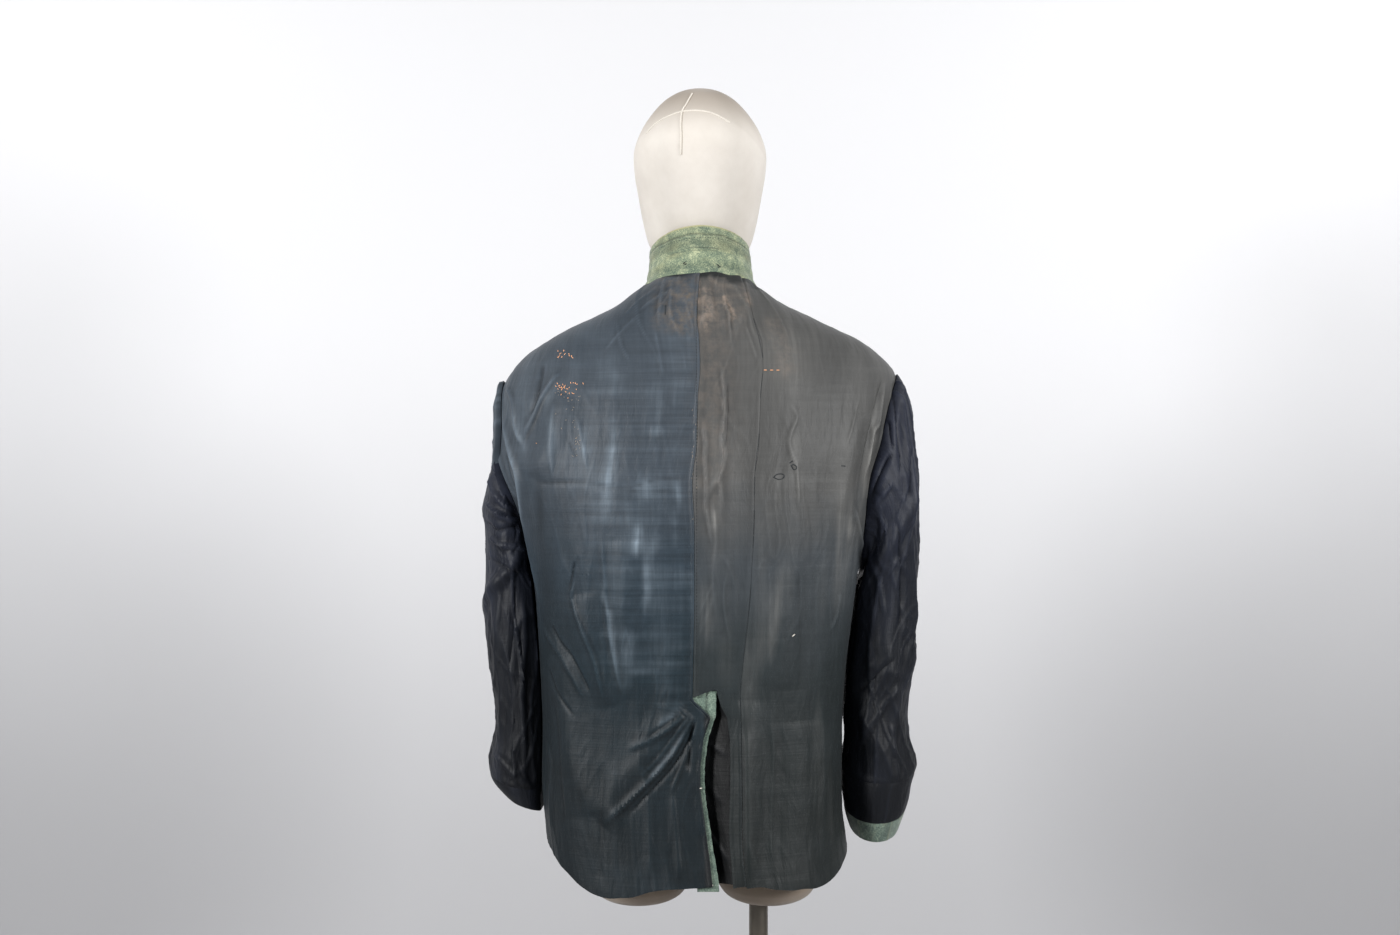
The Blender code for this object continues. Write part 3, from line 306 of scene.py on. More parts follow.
STREAKS = (
    (((-224, 1435), (-215, 1405), (-205, 1371)), 5.5, 5.5, 0.25),
    (((-183, 1395), (-171, 1415), (-155, 1439)), 4.4, 4.4, 0.3),
    (((-139, 1471), (-121, 1447), (-109, 1413)), 37.4, 37.4, 0.16),
    (((-158, 1414), (-160, 1370), (-160, 1325)), 3.9, 3.9, 0.5),
    (((-133, 1396), (-127, 1364), (-124, 1335)), 4.4, 4.4, 0.45),
    (((-91, 1451), (-89, 1413)), 6.6, 6.6, 0.3),
    (((-87, 1413), (-95, 1371), (-100, 1327), (-102, 1287), (-102, 1262)), 4.0, 5.0, 1.1),
    (((-48, 1438), (-48, 1402), (-48, 1370)), 9.9, 9.9, 0.4),
    (((-47, 1389), (-47, 1367)), 8.8, 8.8, 0.5),
    (((-56, 1335), (-55, 1300)), 9.9, 9.9, 0.55),
    (((-62, 1287), (-69, 1256), (-70, 1238)), 3.9, 3.9, 1.0),
    (((-44, 1293), (-54, 1251), (-56, 1224), (-58, 1197), (-58, 1168)), 3.9, 3.9, 0.8),
    (((-26, 1341), (-20, 1305), (-22, 1287)), 4.4, 4.4, 0.5),
    (((-28, 1305), (-26, 1245)), 3.3, 3.3, 0.4),
    (((-148, 1305), (-152, 1258), (-150, 1216), (-150, 1174)), 6.6, 6.6, 0.5),
    (((-121, 1305), (-125, 1239), (-120, 1196)), 6.6, 6.6, 0.25),
    (((-197, 1304), (-184, 1221), (-179, 1170), (-173, 1123)), 4.4, 4.4, 0.45),
    (((-104, 1244), (-99, 1165), (-90, 1115), (-81, 1085)), 2.2, 2.2, 0.7),
    (((-72, 1169), (-78, 1142), (-76, 1122)), 5.5, 5.5, 0.4),
    (((-60, 1126), (-60, 1111)), 8.8, 8.8, 0.4),
    (((-65, 1074), (-49, 1071)), 8.8, 8.8, 0.35),
    (((-174, 1457), (-183, 1410), (-190, 1395)), 5.5, 5.5, -0.6),
    (((-175, 1369), (-176, 1304), (-177, 1237)), 5.5, 5.5, -0.4),
    (((-11, 1413), (-11, 1240), (-11, 1099)), 5.5, 5.5, -0.25),
    (((-109, 1436), (-111, 1370), (-114, 1305)), 8.8, 8.8, -0.2),
    (((-73, 1370), (-75, 1283)), 8.8, 8.8, -0.25),
    (((14, 1300), (14, 1266)), 3.3, 3.3, 0.6),
    (((4, 1426), (16, 1365), (19, 1305)), 4.4, 4.4, 0.3),
    (((5, 1240), (8, 1186), (7, 1131)), 5.5, 5.5, 0.35),
    (((90, 1290), (93, 1244), (81, 1189), (77, 1153), (76, 1086)), 6.6, 6.6, 0.5),
    (((105, 1396), (105, 1286), (101, 1262)), 4.4, 4.4, 0.5),
    (((81, 1359), (79, 1287), (73, 1240)), 6.6, 6.6, 0.35),
    (((98, 1526), (94, 1469), (98, 1397)), 17.6, 17.6, 0.45),
    (((149, 1381), (151, 1304), (152, 1238), (149, 1193), (144, 1149)), 12.1, 12.1, 0.5),
    (((163, 1291), (167, 1254)), 3.3, 3.3, 0.5),
    (((125, 1370), (125, 1239)), 11.0, 11.0, -0.15),
    (((183, 1415), (172, 1359), (165, 1304)), 6.6, 6.6, -0.35),
    (((169, 1191), (164, 1122), (163, 1075)), 8.8, 8.8, -0.35),
    (((2, 1076), (2, 1050), (-1, 1000), (5, 950), (9, 885)), 9.0, 9.0, -0.5),
    (((20, 1066), (23, 1030), (20, 990), (14, 950)), 7.7, 7.7, -0.9),
    (((203, 1436), (194, 1389), (187, 1344), (181, 1306), (174, 1262)), 2.2, 2.2, 0.9),
    (((213, 1424), (207, 1385), (200, 1345), (196, 1316)), 1.8, 1.8, 0.7),
    (((207, 1420), (199, 1375), (192, 1335)), 2.2, 2.2, -0.7),
    (((-228, 1417), (-217, 1375), (-207, 1345), (-200, 1315), (-196, 1280), (-189, 1245), (-180, 1205)),
     2.2, 2.2, 0.9),
    (((-210, 1416), (-205, 1382), (-196, 1364), (-190, 1345)), 2.8, 2.8, 0.6),
    (((-8, 1072), (-32, 1030), (-60, 995), (-90, 962)), 2.2, 2.2, 0.7),
    (((-1, 1062), (-24, 1016), (-52, 984), (-84, 955), (-104, 945)), 2.6, 2.6, -1.0),
    (((-12, 1083), (-40, 1066), (-66, 1052)), 2.8, 2.8, 0.5),
    (((-5, 1060), (-16, 1024), (-30, 990)), 2.6, 2.6, -0.7),
)
STAINS = (
    (((4, 1540), (9, 1520), (5, 1485)), 6.6, 6.6, 0.4),
    (((23, 1532), (30, 1520), (36, 1508), (39, 1500)), 4.4, 4.4, 1.0),
    (((51, 1539), (55, 1515)), 4.4, 4.4, 0.7),
    (((70, 1512), (84, 1490), (92, 1465), (95, 1430)), 12.9, 12.9, 0.25),
    (((-20, 1540), (-17, 1514), (-22, 1480)), 15.4, 13.2, 0.75),
)
# Largest folds: face, x and height of both ends, sideways bow, half width and outward height, in metres
FOLDS = (
    (BACK, -0.012, 1.074, -0.104, 0.950, -0.016, 0.016, 0.0060),
    (BACK, -0.020, 1.050, -0.085, 0.960, -0.030, 0.012, -0.0030),
    (BACK, -0.150, 1.420, -0.182, 1.330, 0.006, 0.013, 0.0060),
    (BACK, -0.130, 1.200, -0.098, 1.080, -0.006, 0.014, 0.0050),
    (BACK, -0.152, 1.130, -0.118, 0.960, -0.008, 0.016, 0.0050),
    (BACK, -0.086, 1.260, -0.076, 1.090, 0.000, 0.014, 0.0040),
    (BACK, 0.026, 1.400, 0.020, 1.160, 0.004, 0.012, 0.0040),
    (BACK, 0.100, 1.330, 0.085, 1.100, 0.000, 0.022, 0.0040),
    (BACK, 0.178, 1.400, 0.158, 1.290, -0.004, 0.010, 0.0045),
    (BACK, 0.050, 1.085, 0.052, 0.860, 0.000, 0.016, 0.0080),
    (BACK, 0.115, 1.060, 0.110, 0.870, 0.000, 0.024, 0.0040),
    (FRONT, -0.100, 1.400, -0.080, 1.150, 0.000, 0.020, 0.0050),
    (FRONT, 0.105, 1.390, 0.088, 1.140, 0.000, 0.020, 0.0050),
    (FRONT, -0.070, 1.100, -0.095, 0.880, 0.004, 0.020, 0.0060),
    (FRONT, 0.060, 1.120, 0.090, 0.880, -0.004, 0.022, 0.0060),
)
FRONT_CREASES = (
    (((-188, 1330), (-170, 1290), (-160, 1230)), 5.5, 5.5, 3.0),
    (((-150, 1400), (-140, 1340), (-143, 1280)), 5.5, 5.5, 2.0),
    (((-60, 1450), (-66, 1380), (-60, 1300)), 6.6, 6.6, 1.6),
    (((-20, 1500), (-24, 1400), (-20, 1280)), 3.3, 3.3, 1.4),
    (((-120, 1120), (-128, 1040), (-122, 950)), 8.8, 8.8, 2.2),
    (((-40, 1140), (-46, 1040), (-42, 930)), 6.6, 6.6, 2.0),
    (((188, 1340), (172, 1290), (164, 1220)), 5.5, 5.5, 3.0),
    (((148, 1400), (142, 1340), (148, 1270)), 5.5, 5.5, 2.0),
    (((62, 1450), (64, 1370), (58, 1300)), 6.6, 6.6, 1.6),
    (((22, 1500), (20, 1400), (24, 1280)), 3.3, 3.3, 1.4),
    (((118, 1110), (128, 1030), (124, 940)), 8.8, 8.8, 2.2),
    (((38, 1140), (44, 1040), (40, 930)), 6.6, 6.6, 2.0),
    (((-160, 1190), (-120, 1176), (-70, 1180)), 3.3, 3.3, 1.2),
    (((160, 1186), (120, 1172), (66, 1178)), 3.3, 3.3, 1.2),
)


def chart(lines, x, z, fade_share=0.18, width=1.0):
    """The sum of a chart's lines at places x and z in metres, each full on its path and soft round it."""
    total = np.zeros(x.shape)
    for path, spread_left, spread_right, height in lines:
        corners = np.array(path, float) / 1000
        path = rows_at(corners, np.linspace(0, len(corners) - 1, (len(corners) - 1) * 6 + 1))
        reach = 3 * max(spread_left, spread_right) / 1000
        near = (x > path[:, 0].min() - reach) & (x < path[:, 0].max() + reach)
        near &= (z > path[:, 1].min() - reach) & (z < path[:, 1].max() + reach)
        if not near.any():
            continue
        px, pz = x[near], z[near]
        best, side, along = np.full(px.shape, 9.0), np.ones(px.shape), np.zeros(px.shape)
        starts = np.concatenate([[0], np.cumsum(np.hypot(*np.diff(path, axis=0).T))])
        for start, length, (ax, az), (bx, bz) in zip(starts, np.diff(starts), path[:-1], path[1:]):
            rx, rz = bx - ax, bz - az
            share = np.clip(((px - ax) * rx + (pz - az) * rz) / length**2, 0, 1)
            dx, dz = px - ax - rx * share, pz - az - rz * share
            distance = np.hypot(dx, dz)
            nearer = distance < best
            best = np.where(nearer, distance, best)
            side = np.where(nearer, np.sign(rx * dz - rz * dx), side)
            along = np.where(nearer, (start + length * share) / starts[-1], along)
        away = best / (width * np.where(side > 0, spread_right, spread_left) / 1000)
        ridge = 0.55 * np.exp(-(away**2)) + 0.45 * np.exp(-2.6 * (np.sqrt(away**2 + 0.01) - 0.1))
        total[near] += height * ridge * smooth(along / fade_share) * smooth((1 - along) / fade_share)
    return total


def fold_rise(face, x, z):
    """How far the largest folds lift the cloth off the smooth body, in metres."""
    rise = np.zeros(x.shape)
    for fold_face, x_top, z_top, x_low, z_low, bow, width, height in FOLDS:
        if fold_face != face:
            continue
        run = np.array([x_low - x_top, z_low - z_top])
        length = np.hypot(*run)
        along = np.clip(((x - x_top) * run[0] + (z - z_top) * run[1]) / length**2, 0, 1)
        sideways = (-(x - x_top) * run[1] + (z - z_top) * run[0]) / length
        arch = 4 * along * (1 - along)
        rise += height * np.sqrt(arch) * np.exp(-(((sideways - bow * arch) / width) ** 2))
    return rise


def ripples(across, along, size_across, size_along, seed, around=None):
    """Soft random waves from -1 to 1 whose hills measure size_across by size_along metres."""
    lattice = np.random.default_rng(seed).uniform(-1, 1, (64, 64))
    a, b = across / size_across + 640, along / size_along + 640
    i, j = np.floor(a).astype(int), np.floor(b).astype(int)
    share_a, share_b = smooth(a - i), smooth(b - j)
    turn = 64 if around is None else around
    low = lattice[i % turn, j % 64] * (1 - share_a) + lattice[(i + 1) % turn, j % 64] * share_a
    high = lattice[i % turn, (j + 1) % 64] * (1 - share_a) + lattice[(i + 1) % turn, (j + 1) % 64] * share_a
    return low * (1 - share_b) + high * share_b


def crests(noise, sharpness):
    """Thin raised lines where soft noise passes through zero, as in crumpled cloth."""
    return np.clip(1 - sharpness * abs(noise), 0, 1) ** 2


def crest_wear_and_hollow_shade(relief):
    """Light on crests, partly as rubbed wear and partly as a painted highlight, and dark in hollows as
    painted shade, from the relief round each place.
    """
    around = sum(np.roll(relief, shift, axis) for axis in (0, 1) for shift in (-3, -2, -1, 1, 2, 3)) / 12
    return np.clip((relief - around) * 1000 / 0.70, -0.85, 0.8)


print("charted", len(LEFT_CREASES) + len(RIGHT_CREASES), "creases and", len(STREAKS), "streaks of the back")

# %% [markdown]
# ## Colours and one way to add a node
#
# Dyers and printers give colours as sRGB hex values, while a shader reckons in linear light, so one
# function turns the first into the second. Another adds a node with its settings, its inputs and, for a
# colour ramp, its stops. Every finish and every stitch further down is put together with these two.


# %% Colour and node helpers
def dye(hex_colour):
    """A linear colour from an sRGB hex value."""
    parts = [int(hex_colour[i : i + 2], 16) / 255 for i in (1, 3, 5)]
    return (*[p / 12.92 if p <= 0.04045 else ((p + 0.055) / 1.055) ** 2.4 for p in parts], 1.0)


def add_node(tree, kind, settings=None, inputs=None, stops=None):
    """Adds a node, sets its properties, and gives each input a value or a link."""
    node = tree.nodes.new(kind)
    for name, value in (settings or {}).items():
        setattr(node, name, value)
    for key, value in (inputs or {}).items():
        if isinstance(value, bpy.types.NodeSocket):
            tree.links.new(value, node.inputs[key])
        else:
            node.inputs[key].default_value = value
    for number, (place, colour) in enumerate(stops or ()):
        elements = node.color_ramp.elements
        stop = elements[number] if number < 2 else elements.new(place)
        stop.position, stop.color = place, dye(colour)
    return node


def new_finish(name):
    """A material with its node tree, its Principled shader and the object's own coordinates."""
    finish = bpy.data.materials.new(name)
    finish.use_nodes = True
    tree = finish.node_tree
    return finish, tree, tree.nodes["Principled BSDF"], add_node(tree, "ShaderNodeTexCoord").outputs["Object"]


def noise(tree, place, size, detail, roughness=0.5, distortion=0.0):
    """A noise with grains of the given size in metres, either one size or one for each axis."""
    if isinstance(size, tuple):
        scale = tuple(1 / part for part in size)
        place, size = add_node(tree, "ShaderNodeMapping", None,
                               {"Vector": place, "Scale": scale}).outputs[0], 1.0
    return add_node(tree, "ShaderNodeTexNoise", None,
                    {"Vector": place, "Scale": 1 / size, "Detail": detail, "Roughness": roughness,
                     "Distortion": distortion}).outputs[0]


def remap(tree, value, low, high, to_low=0.0, to_high=1.0, soft=False):
    """Takes a value from one range to another, with soft ends where asked."""
    settings = {"interpolation_type": "SMOOTHSTEP"} if soft else None
    return add_node(tree, "ShaderNodeMapRange", settings,
                    {"Value": value, "From Min": low, "From Max": high, "To Min": to_low,
                     "To Max": to_high}).outputs[0]


def reckon(tree, operation, *values, clamp=False):
    """The result of a Math node."""
    settings = {"operation": operation, "use_clamp": clamp}
    return add_node(tree, "ShaderNodeMath", settings, dict(enumerate(values))).outputs[0]


def blend(tree, share, first, second, way="MIX"):
    """Two colours mixed by a share, or the second multiplied onto the first."""
    settings = {"data_type": "RGBA", "blend_type": way}
    return add_node(tree, "ShaderNodeMix", settings, {0: share, 6: first, 7: second}).outputs[2]


def ramp(tree, share, *stops):
    """A colour from a ramp of places and hex colours."""
    return add_node(tree, "ShaderNodeValToRGB", None, {0: share}, stops).outputs[0]


def kept(tree, label):
    """The value that the mesh keeps at each point under a label."""
    return add_node(tree, "ShaderNodeAttribute", {"attribute_name": label}).outputs["Fac"]


def add_bump(tree, shader, height, strength, distance, under=None):
    """Raises the surface by a height, over another bump where one is given."""
    inputs = {"Strength": strength, "Distance": distance, "Height": height}
    if under is not None:
        inputs["Normal"] = under
    raised = add_node(tree, "ShaderNodeBump", None, inputs).outputs[0]
    tree.links.new(raised, shader.inputs["Normal"])
    return raised


print("a mid slate such as #2b3a42 is", [round(part, 4) for part in dye("#2b3a42")[:3]], "in linear light")

# %% [markdown]
# ## Satin lining
#
# The lining is a thin rayon satin, woven with long floating warp threads. They run down the body and
# throw soft upright streaks of light, which are painted into its colour as a highlight, while thicker
# weft threads cross them as fine level lines. Where it lies in folds and shadow, painted shade darkens
# it. Its colour runs darker and greener towards the hem. The real threads are about 0.15 mm apart, too
# fine to show from two metres, so the streaks are drawn 3 to 5 mm wide and the level lines 3 mm high.
# One function weaves all three colours of it, because only the colours differ.


# %% Satin lining material
def satin_lining(name, height_colours, gleam, shade, stain, roughness, slub, sheen):
    """Woven rayon satin: warp streaks, weft lines, a colour that darkens towards the hem, painted gleam and
    painted shade, and stains.
    """
    finish, tree, shader, place = new_finish(name)
    cut = add_node(tree, "ShaderNodeUVMap", {"uv_map": "cloth"}).outputs["UV"]
    height = add_node(tree, "ShaderNodeSeparateXYZ", None, {0: place}).outputs["Z"]
    warp = noise(tree, cut, (0.004, 0.090, 1), 4.0, 0.62)
    weft = noise(tree, cut, (0.060, 0.0030, 1), 3.0, 0.7)
    patches = noise(tree, place, 0.055, 4.0, 0.6)
    # The colour runs darker towards the hem.
    height_share = remap(tree, height, 0.93, 1.50, soft=True)
    height_and_patches = reckon(tree, "MULTIPLY_ADD", patches, 0.30, height_share)
    base_colour = ramp(tree, height_and_patches, (0.12, height_colours[0]), (1.18 / 1.3, height_colours[3]), (0.42, height_colours[1]), (0.70, height_colours[2]))
    tone_and_painted_light = kept(tree, "tone_and_painted_light")
    lively = remap(tree, warp, 0.36, 0.66, 0.65, 1.15)
    # Painted highlight and painted shade: where the tone value is above zero, the colour is mixed towards the
    # gleam colour as the satin's sheen. Where it is below zero, it is mixed towards the shade colour.
    lit = blend(tree, reckon(tree, "MULTIPLY", tone_and_painted_light, lively, clamp=True), base_colour, dye(gleam))
    shaded = blend(tree, reckon(tree, "MULTIPLY", tone_and_painted_light, -1.0, clamp=True), lit, dye(shade))
    blotched = remap(tree, noise(tree, place, 0.011, 4.0, 0.7), 0.40, 0.64, 0.1, 1.0)
    soiled_and_shaded = reckon(tree, "MULTIPLY", kept(tree, "stain"), blotched, clamp=True)
    stained = blend(tree, soiled_and_shaded, shaded, dye(stain))
    level = remap(tree, weft, 0.36, 0.64, 1 - slub, 1 + slub)
    upright = remap(tree, warp, 0.30, 0.70, 0.955, 1.05)
    banded = remap(tree, noise(tree, cut, (0.20, 0.0060, 1), 4.0, 0.75), 0.38, 0.62, -0.11, 0.11)
    fine = reckon(tree, "MULTIPLY", level, upright)
    threads = reckon(tree, "MULTIPLY_ADD", banded, kept(tree, "weft"), fine)
    # Crests lighter and hollows darker by the wear value: partly wear, partly painted highlight and painted
    # shade.
    amount = reckon(tree, "MULTIPLY_ADD", kept(tree, "wear_and_crease_shading"), 0.40, threads)
    tree.links.new(blend(tree, 1.0, stained, amount, "MULTIPLY"), shader.inputs["Base Color"])
    rough = remap(tree, warp, 0.3, 0.7, roughness - 0.03, roughness + 0.04)
    tree.links.new(rough, shader.inputs["Roughness"])
    shader.inputs["Sheen Weight"].default_value = sheen
    shader.inputs["Sheen Roughness"].default_value = 0.4
    shader.inputs["Specular IOR Level"].default_value = 0.26
    crinkled = add_bump(tree, shader, noise(tree, cut, (0.011, 0.045, 1), 5.0, 0.62, 0.6), 0.5, 0.0022)
    add_bump(tree, shader, reckon(tree, "ADD", weft, warp), 0.35, 0.0006, crinkled)
    return finish


# Each lining's colours: four from the hem up to the top, then its painted highlight, its painted shade and
# its stain.
slate_satin = satin_lining("slate_rayon_satin", ("#10181c", "#1d2930", "#2c3740", "#394149"),
                           "#7b8893", "#0a0e11", "#5d564f", 0.52, 0.06, 0.05)
brown_satin = satin_lining("faded_brown_rayon_satin", ("#171c1c", "#282e30", "#3b4044", "#484847"),
                           "#807f7c", "#0e1214", "#85776b", 0.52, 0.03, 0.05)
black_satin = satin_lining("black_rayon_satin", ("#080b11", "#0c1017", "#11151f", "#191d29"),
                           "#3a3f4d", "#030405", "#2c2d31", 0.54, 0.03, 0.0)
print("satin finishes:", slate_satin.name, brown_satin.name, black_satin.name)

# %% [markdown]
# ## Melange wool
#
# The outer cloth of the jacket is a field-green wool felted from fibres of several dyes: a yellowish
# green, a grey green and a dark teal. Up close they make a speckle with grains of about 1 mm in softer
# clouds of about 12 mm, and the napped surface scatters light softly. So the colours come from two noises
# of those sizes, and a sheen with a rough shader stands for the nap.


# %% Wool material
def melange_wool(name, dark, middle, light, rim):
    """Felted wool of mixed fibres, yellower where it is rubbed and, as a painted highlight, on the crests of
    creases, and painted lighter or darker where its tone value says.
    """
    finish, tree, shader, place = new_finish(name)
    fibres = noise(tree, place, 0.0013, 3.0, 0.7)
    clouds = noise(tree, place, 0.012, 4.0, 0.65)
    mixed = add_node(tree, "ShaderNodeMix", {"data_type": "FLOAT"},
                     {0: 0.40, 2: fibres, 3: clouds}).outputs[0]
    melange = ramp(tree, mixed, (0.37, dark), (0.63, light), (0.50, middle))
    worn_and_crest_lit_wool = blend(tree, kept(tree, "wear_and_crease_shading"), melange, dye(rim))
    tone_and_painted_light_factor = reckon(tree, "ADD", kept(tree, "tone_and_painted_light"), 1.0)
    tree.links.new(blend(tree, 1.0, worn_and_crest_lit_wool, tone_and_painted_light_factor, "MULTIPLY"), shader.inputs["Base Color"])
    shader.inputs["Roughness"].default_value = 0.92
    shader.inputs["Sheen Weight"].default_value = 0.35
    shader.inputs["Sheen Roughness"].default_value = 0.5
    add_bump(tree, shader, fibres, 0.7, 0.0007)
    return finish


field_wool = melange_wool("field_green_melange_wool", "#44564c", "#74826a", "#b3b894", "#a7a173")
# A darker copy of the same wool, painted as in shade, for the vent strip and the end of the right cuff.
shaded_wool = melange_wool("shaded_field_wool", "#37453f", "#54655a", "#7d8c7d", "#8a8d74")
print("wool finishes:", field_wool.name, shaded_wool.name)

# %% [markdown]
# ## A wall of cloth
#
# Real cloth has two faces and an edge, and here both faces differ: satin outside, wool inside. A
# Solidify modifier could thicken a single sheet, but it can't lower the outer face alone where the cloth
# dives into a seam. So each piece is built as two grids of points, one for each face, with a narrow rim
# that closes them. The same function keeps a UV map in real metres, for the weave, and four values at
# each point: tone, which also carries painted gleam and painted shade; stains; wear, which also carries
# painted light on crests and painted shade in hollows; and weft bands.


# %% Cloth wall builder
def cloth_wall(name, inner, outer, cut, values, finishes, closed=False):
    """A closed mesh of cloth between two grids; cut is each place's girth and length in metres."""
    rows, columns = inner.shape[:2]
    index = np.arange(rows * columns).reshape(rows, columns)
    right = np.roll(index, -1, axis=1) if closed else index[:, 1:]
    left = index if closed else index[:, :-1]
    a, b, c, d = left[:-1], right[:-1], right[1:], left[1:]
    face = np.stack([a, b, c, d], axis=-1).reshape(-1, 4)
    under = rows * columns
    parts = [face, face[:, ::-1] + under]
    first, last = (left[0], right[0]), (left[-1], right[-1])
    parts.append(np.stack([first[1], first[0], first[0] + under, first[1] + under], axis=-1))
    parts.append(np.stack([last[0], last[1], last[1] + under, last[0] + under], axis=-1))
    if not closed:
        near, far = index[:, 0], index[:, -1]
        parts.append(np.stack([near[:-1], near[1:], near[1:] + under, near[:-1] + under], axis=-1))
        parts.append(np.stack([far[1:], far[:-1], far[:-1] + under, far[1:] + under], axis=-1))
    quads = np.concatenate(parts)
    vertices = np.concatenate([outer.reshape(-1, 3), inner.reshape(-1, 3)])
    p, q, r = vertices[face[:, 0]], vertices[face[:, 1]], vertices[face[:, 3]]
    wall = vertices[face[:, 0]] - vertices[face[:, 0] + under]
    turned = (np.cross(q - p, r - p) * wall).sum() < 0
    if turned:
        quads = quads[:, ::-1]
    mesh = bpy.data.meshes.new(name)
    mesh.from_pydata(vertices.tolist(), [], quads.tolist())
    flat = np.concatenate([cut.reshape(-1, 2)] * 2)[quads]
    if closed:
        whole = cut[:, -1, 0] + cut[:, 1, 0] - cut[:, 0, 0]
        row_of = (quads % under) // columns
        column_of = (quads % under) % columns
        laps = (column_of == 0) & (column_of.max(axis=1, keepdims=True) == columns - 1)
        flat[..., 0] += np.where(laps, whole[row_of], 0)
    mesh.uv_layers.new(name="cloth").data.foreach_set("uv", flat.reshape(-1))
    # The tone value holds random tone with painted highlight and painted shade. The wear value holds wear
    # with painted light on crests and painted shade in hollows.
    for label in ("tone_and_painted_light", "stain", "wear_and_crease_shading", "weft"):
        field = np.broadcast_to(values.get(label, 0.0), inner.shape[:2]).reshape(-1)
        mesh.attributes.new(label, "FLOAT", "POINT").data.foreach_set("value",
                                                                      np.concatenate([field, field * 0]))
    for finish in finishes:
        mesh.materials.append(finish)
    slots = np.zeros(len(quads), int)
    slots[len(face) : 2 * len(face)] = len(finishes) - 1
    mesh.polygons.foreach_set("material_index", slots)
    mesh.shade_smooth()
    mesh.set_sharp_from_angle(angle=math.radians(50))
    mesh.validate()
    piece = bpy.data.objects.new(name, mesh)
    bpy.context.scene.collection.objects.link(piece)
    return piece


def cut_size(points, closed=False):
    """The size that a piece of cloth was cut to: its widest girth, its longest length, and its area."""
    loop = np.concatenate([points, points[:, :1]], axis=1) if closed else points
    girth = np.linalg.norm(np.diff(loop, axis=1), axis=-1).sum(axis=1).max()
    length = np.linalg.norm(np.diff(points, axis=0), axis=-1).sum(axis=0).max()
    p, q, r = loop[:-1, :-1], loop[:-1, 1:], loop[1:, :-1]
    area = np.linalg.norm(np.cross(q - p, r - p), axis=-1).sum()
    return float(girth), float(length), float(area)


def dress(piece, node):
    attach(piece, "root")
    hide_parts(node)


def edge_spaced(first, last, count, edge_offsets=(0.0, 0.0005, 0.0012, 0.0022, 0.0036)):
    """Columns between two edges, close together near each edge so that the cloth can dive into its seam."""
    offsets = np.array(edge_offsets)
    total = (last - first)[:, None]
    sign, span = np.sign(total), abs(total)
    ends = np.minimum(offsets, span * 0.45 * offsets / offsets[-1])
    middle = np.linspace(0, 1, count - 2 * len(offsets) + 2)[None, 1:-1]
    inside = ends[:, -1:] + (span - 2 * ends[:, -1:]) * middle
    return first[:, None] + sign * np.concatenate([ends, inside, span - ends[:, ::-1]], axis=1)


# %% [markdown]
# ## The dress form
#
# Under the jacket stands a padded body covered in cream cotton jersey: an egg-shaped head without a
# face, a short neck, a torso and two rounded thigh ends. Museums use such forms to fill a garment. The
# jacket hides most of it. Each part is a loft, a stack of rings with a smooth skin between, and a Boolean
# union makes one closed body of them, so no seam or gap shows where neck and head meet.

# %% Dress form body
HEAD_ROWS = (
    (1.572, 0.0000, 0.0000, 0.032), (1.575, 0.0240, 0.0330, 0.032), (1.580, 0.0380, 0.0510, 0.032),
    (1.586, 0.0490, 0.0620, 0.031), (1.595, 0.0565, 0.0700, 0.029), (1.610, 0.0625, 0.0770, 0.026),
    (1.631, 0.0675, 0.0840, 0.021), (1.656, 0.0720, 0.0900, 0.015), (1.681, 0.0762, 0.0940, 0.009),
    (1.705, 0.0770, 0.0945, 0.004), (1.7245, 0.0707, 0.0880, 0.001), (1.741, 0.0612, 0.0770, -0.001),
    (1.758, 0.0473, 0.0600, -0.002), (1.768, 0.0345, 0.0440, -0.003), (1.7745, 0.0200, 0.0260, -0.003),
    (1.778, 0.0000, 0.0000, -0.003),
)
THIGH_ROWS = (
    (0.8420, 0.0000, 0.0000, 0.0), (0.8420, 0.0320, 0.0400, 0.0), (0.8465, 0.0460, 0.0600, 0.0),
    (0.8550, 0.0545, 0.0720, 0.0), (0.8700, 0.0600, 0.0800, 0.0), (0.9200, 0.0650, 0.0860, 0.0),
    (0.9750, 0.0600, 0.0800, 0.0), (0.9850, 0.0000, 0.0000, 0.0),
)
THIGH_CENTRES = (-0.070, 0.078)
NECK_RINGS = ((1.575, 0.0500), (1.590, 0.0485), (1.600, 0.0470), (1.609, 0.0400), (1.614, 0.0200))
FORM_CLEARANCE = 0.0025  # how much further in the form lies than in the CAD, to leave room for small creases


def loft(name, rings, foot, top):
    """A closed mesh through rings of points, with a point at its foot and one at its top."""
    rings = np.array(rings)
    count, columns = rings.shape[:2]
    vertices = np.concatenate([rings.reshape(-1, 3), [foot, top]])
    index = np.arange(count * columns).reshape(count, columns)
    ahead = np.roll(index, -1, axis=1)
    faces = np.stack([index[:-1], ahead[:-1], ahead[1:], index[1:]], axis=-1).reshape(-1, 4).tolist()
    faces += [[ahead[0, k], index[0, k], count * columns] for k in range(columns)]
    faces += [[index[-1, k], ahead[-1, k], count * columns + 1] for k in range(columns)]
    mesh = bpy.data.meshes.new(name)
    mesh.from_pydata(vertices.tolist(), [], faces)
    mesh.shade_smooth()
    return mesh


def oval_rings(table, steps, columns, centre_x=0.0):
    """Oval rings on a smooth curve through a table of height, half width, half depth and centre y."""
    rows = rows_at(table, np.linspace(0, len(table) - 1, (len(table) - 1) * steps + 1))[1:-1]
    angle = np.linspace(0, 2 * math.pi, columns, endpoint=False)
    return [np.stack([centre_x + row[1] * np.sin(angle), row[3] - row[2] * np.cos(angle),
                      np.full(columns, row[0])],
                     axis=-1) for row in rows]


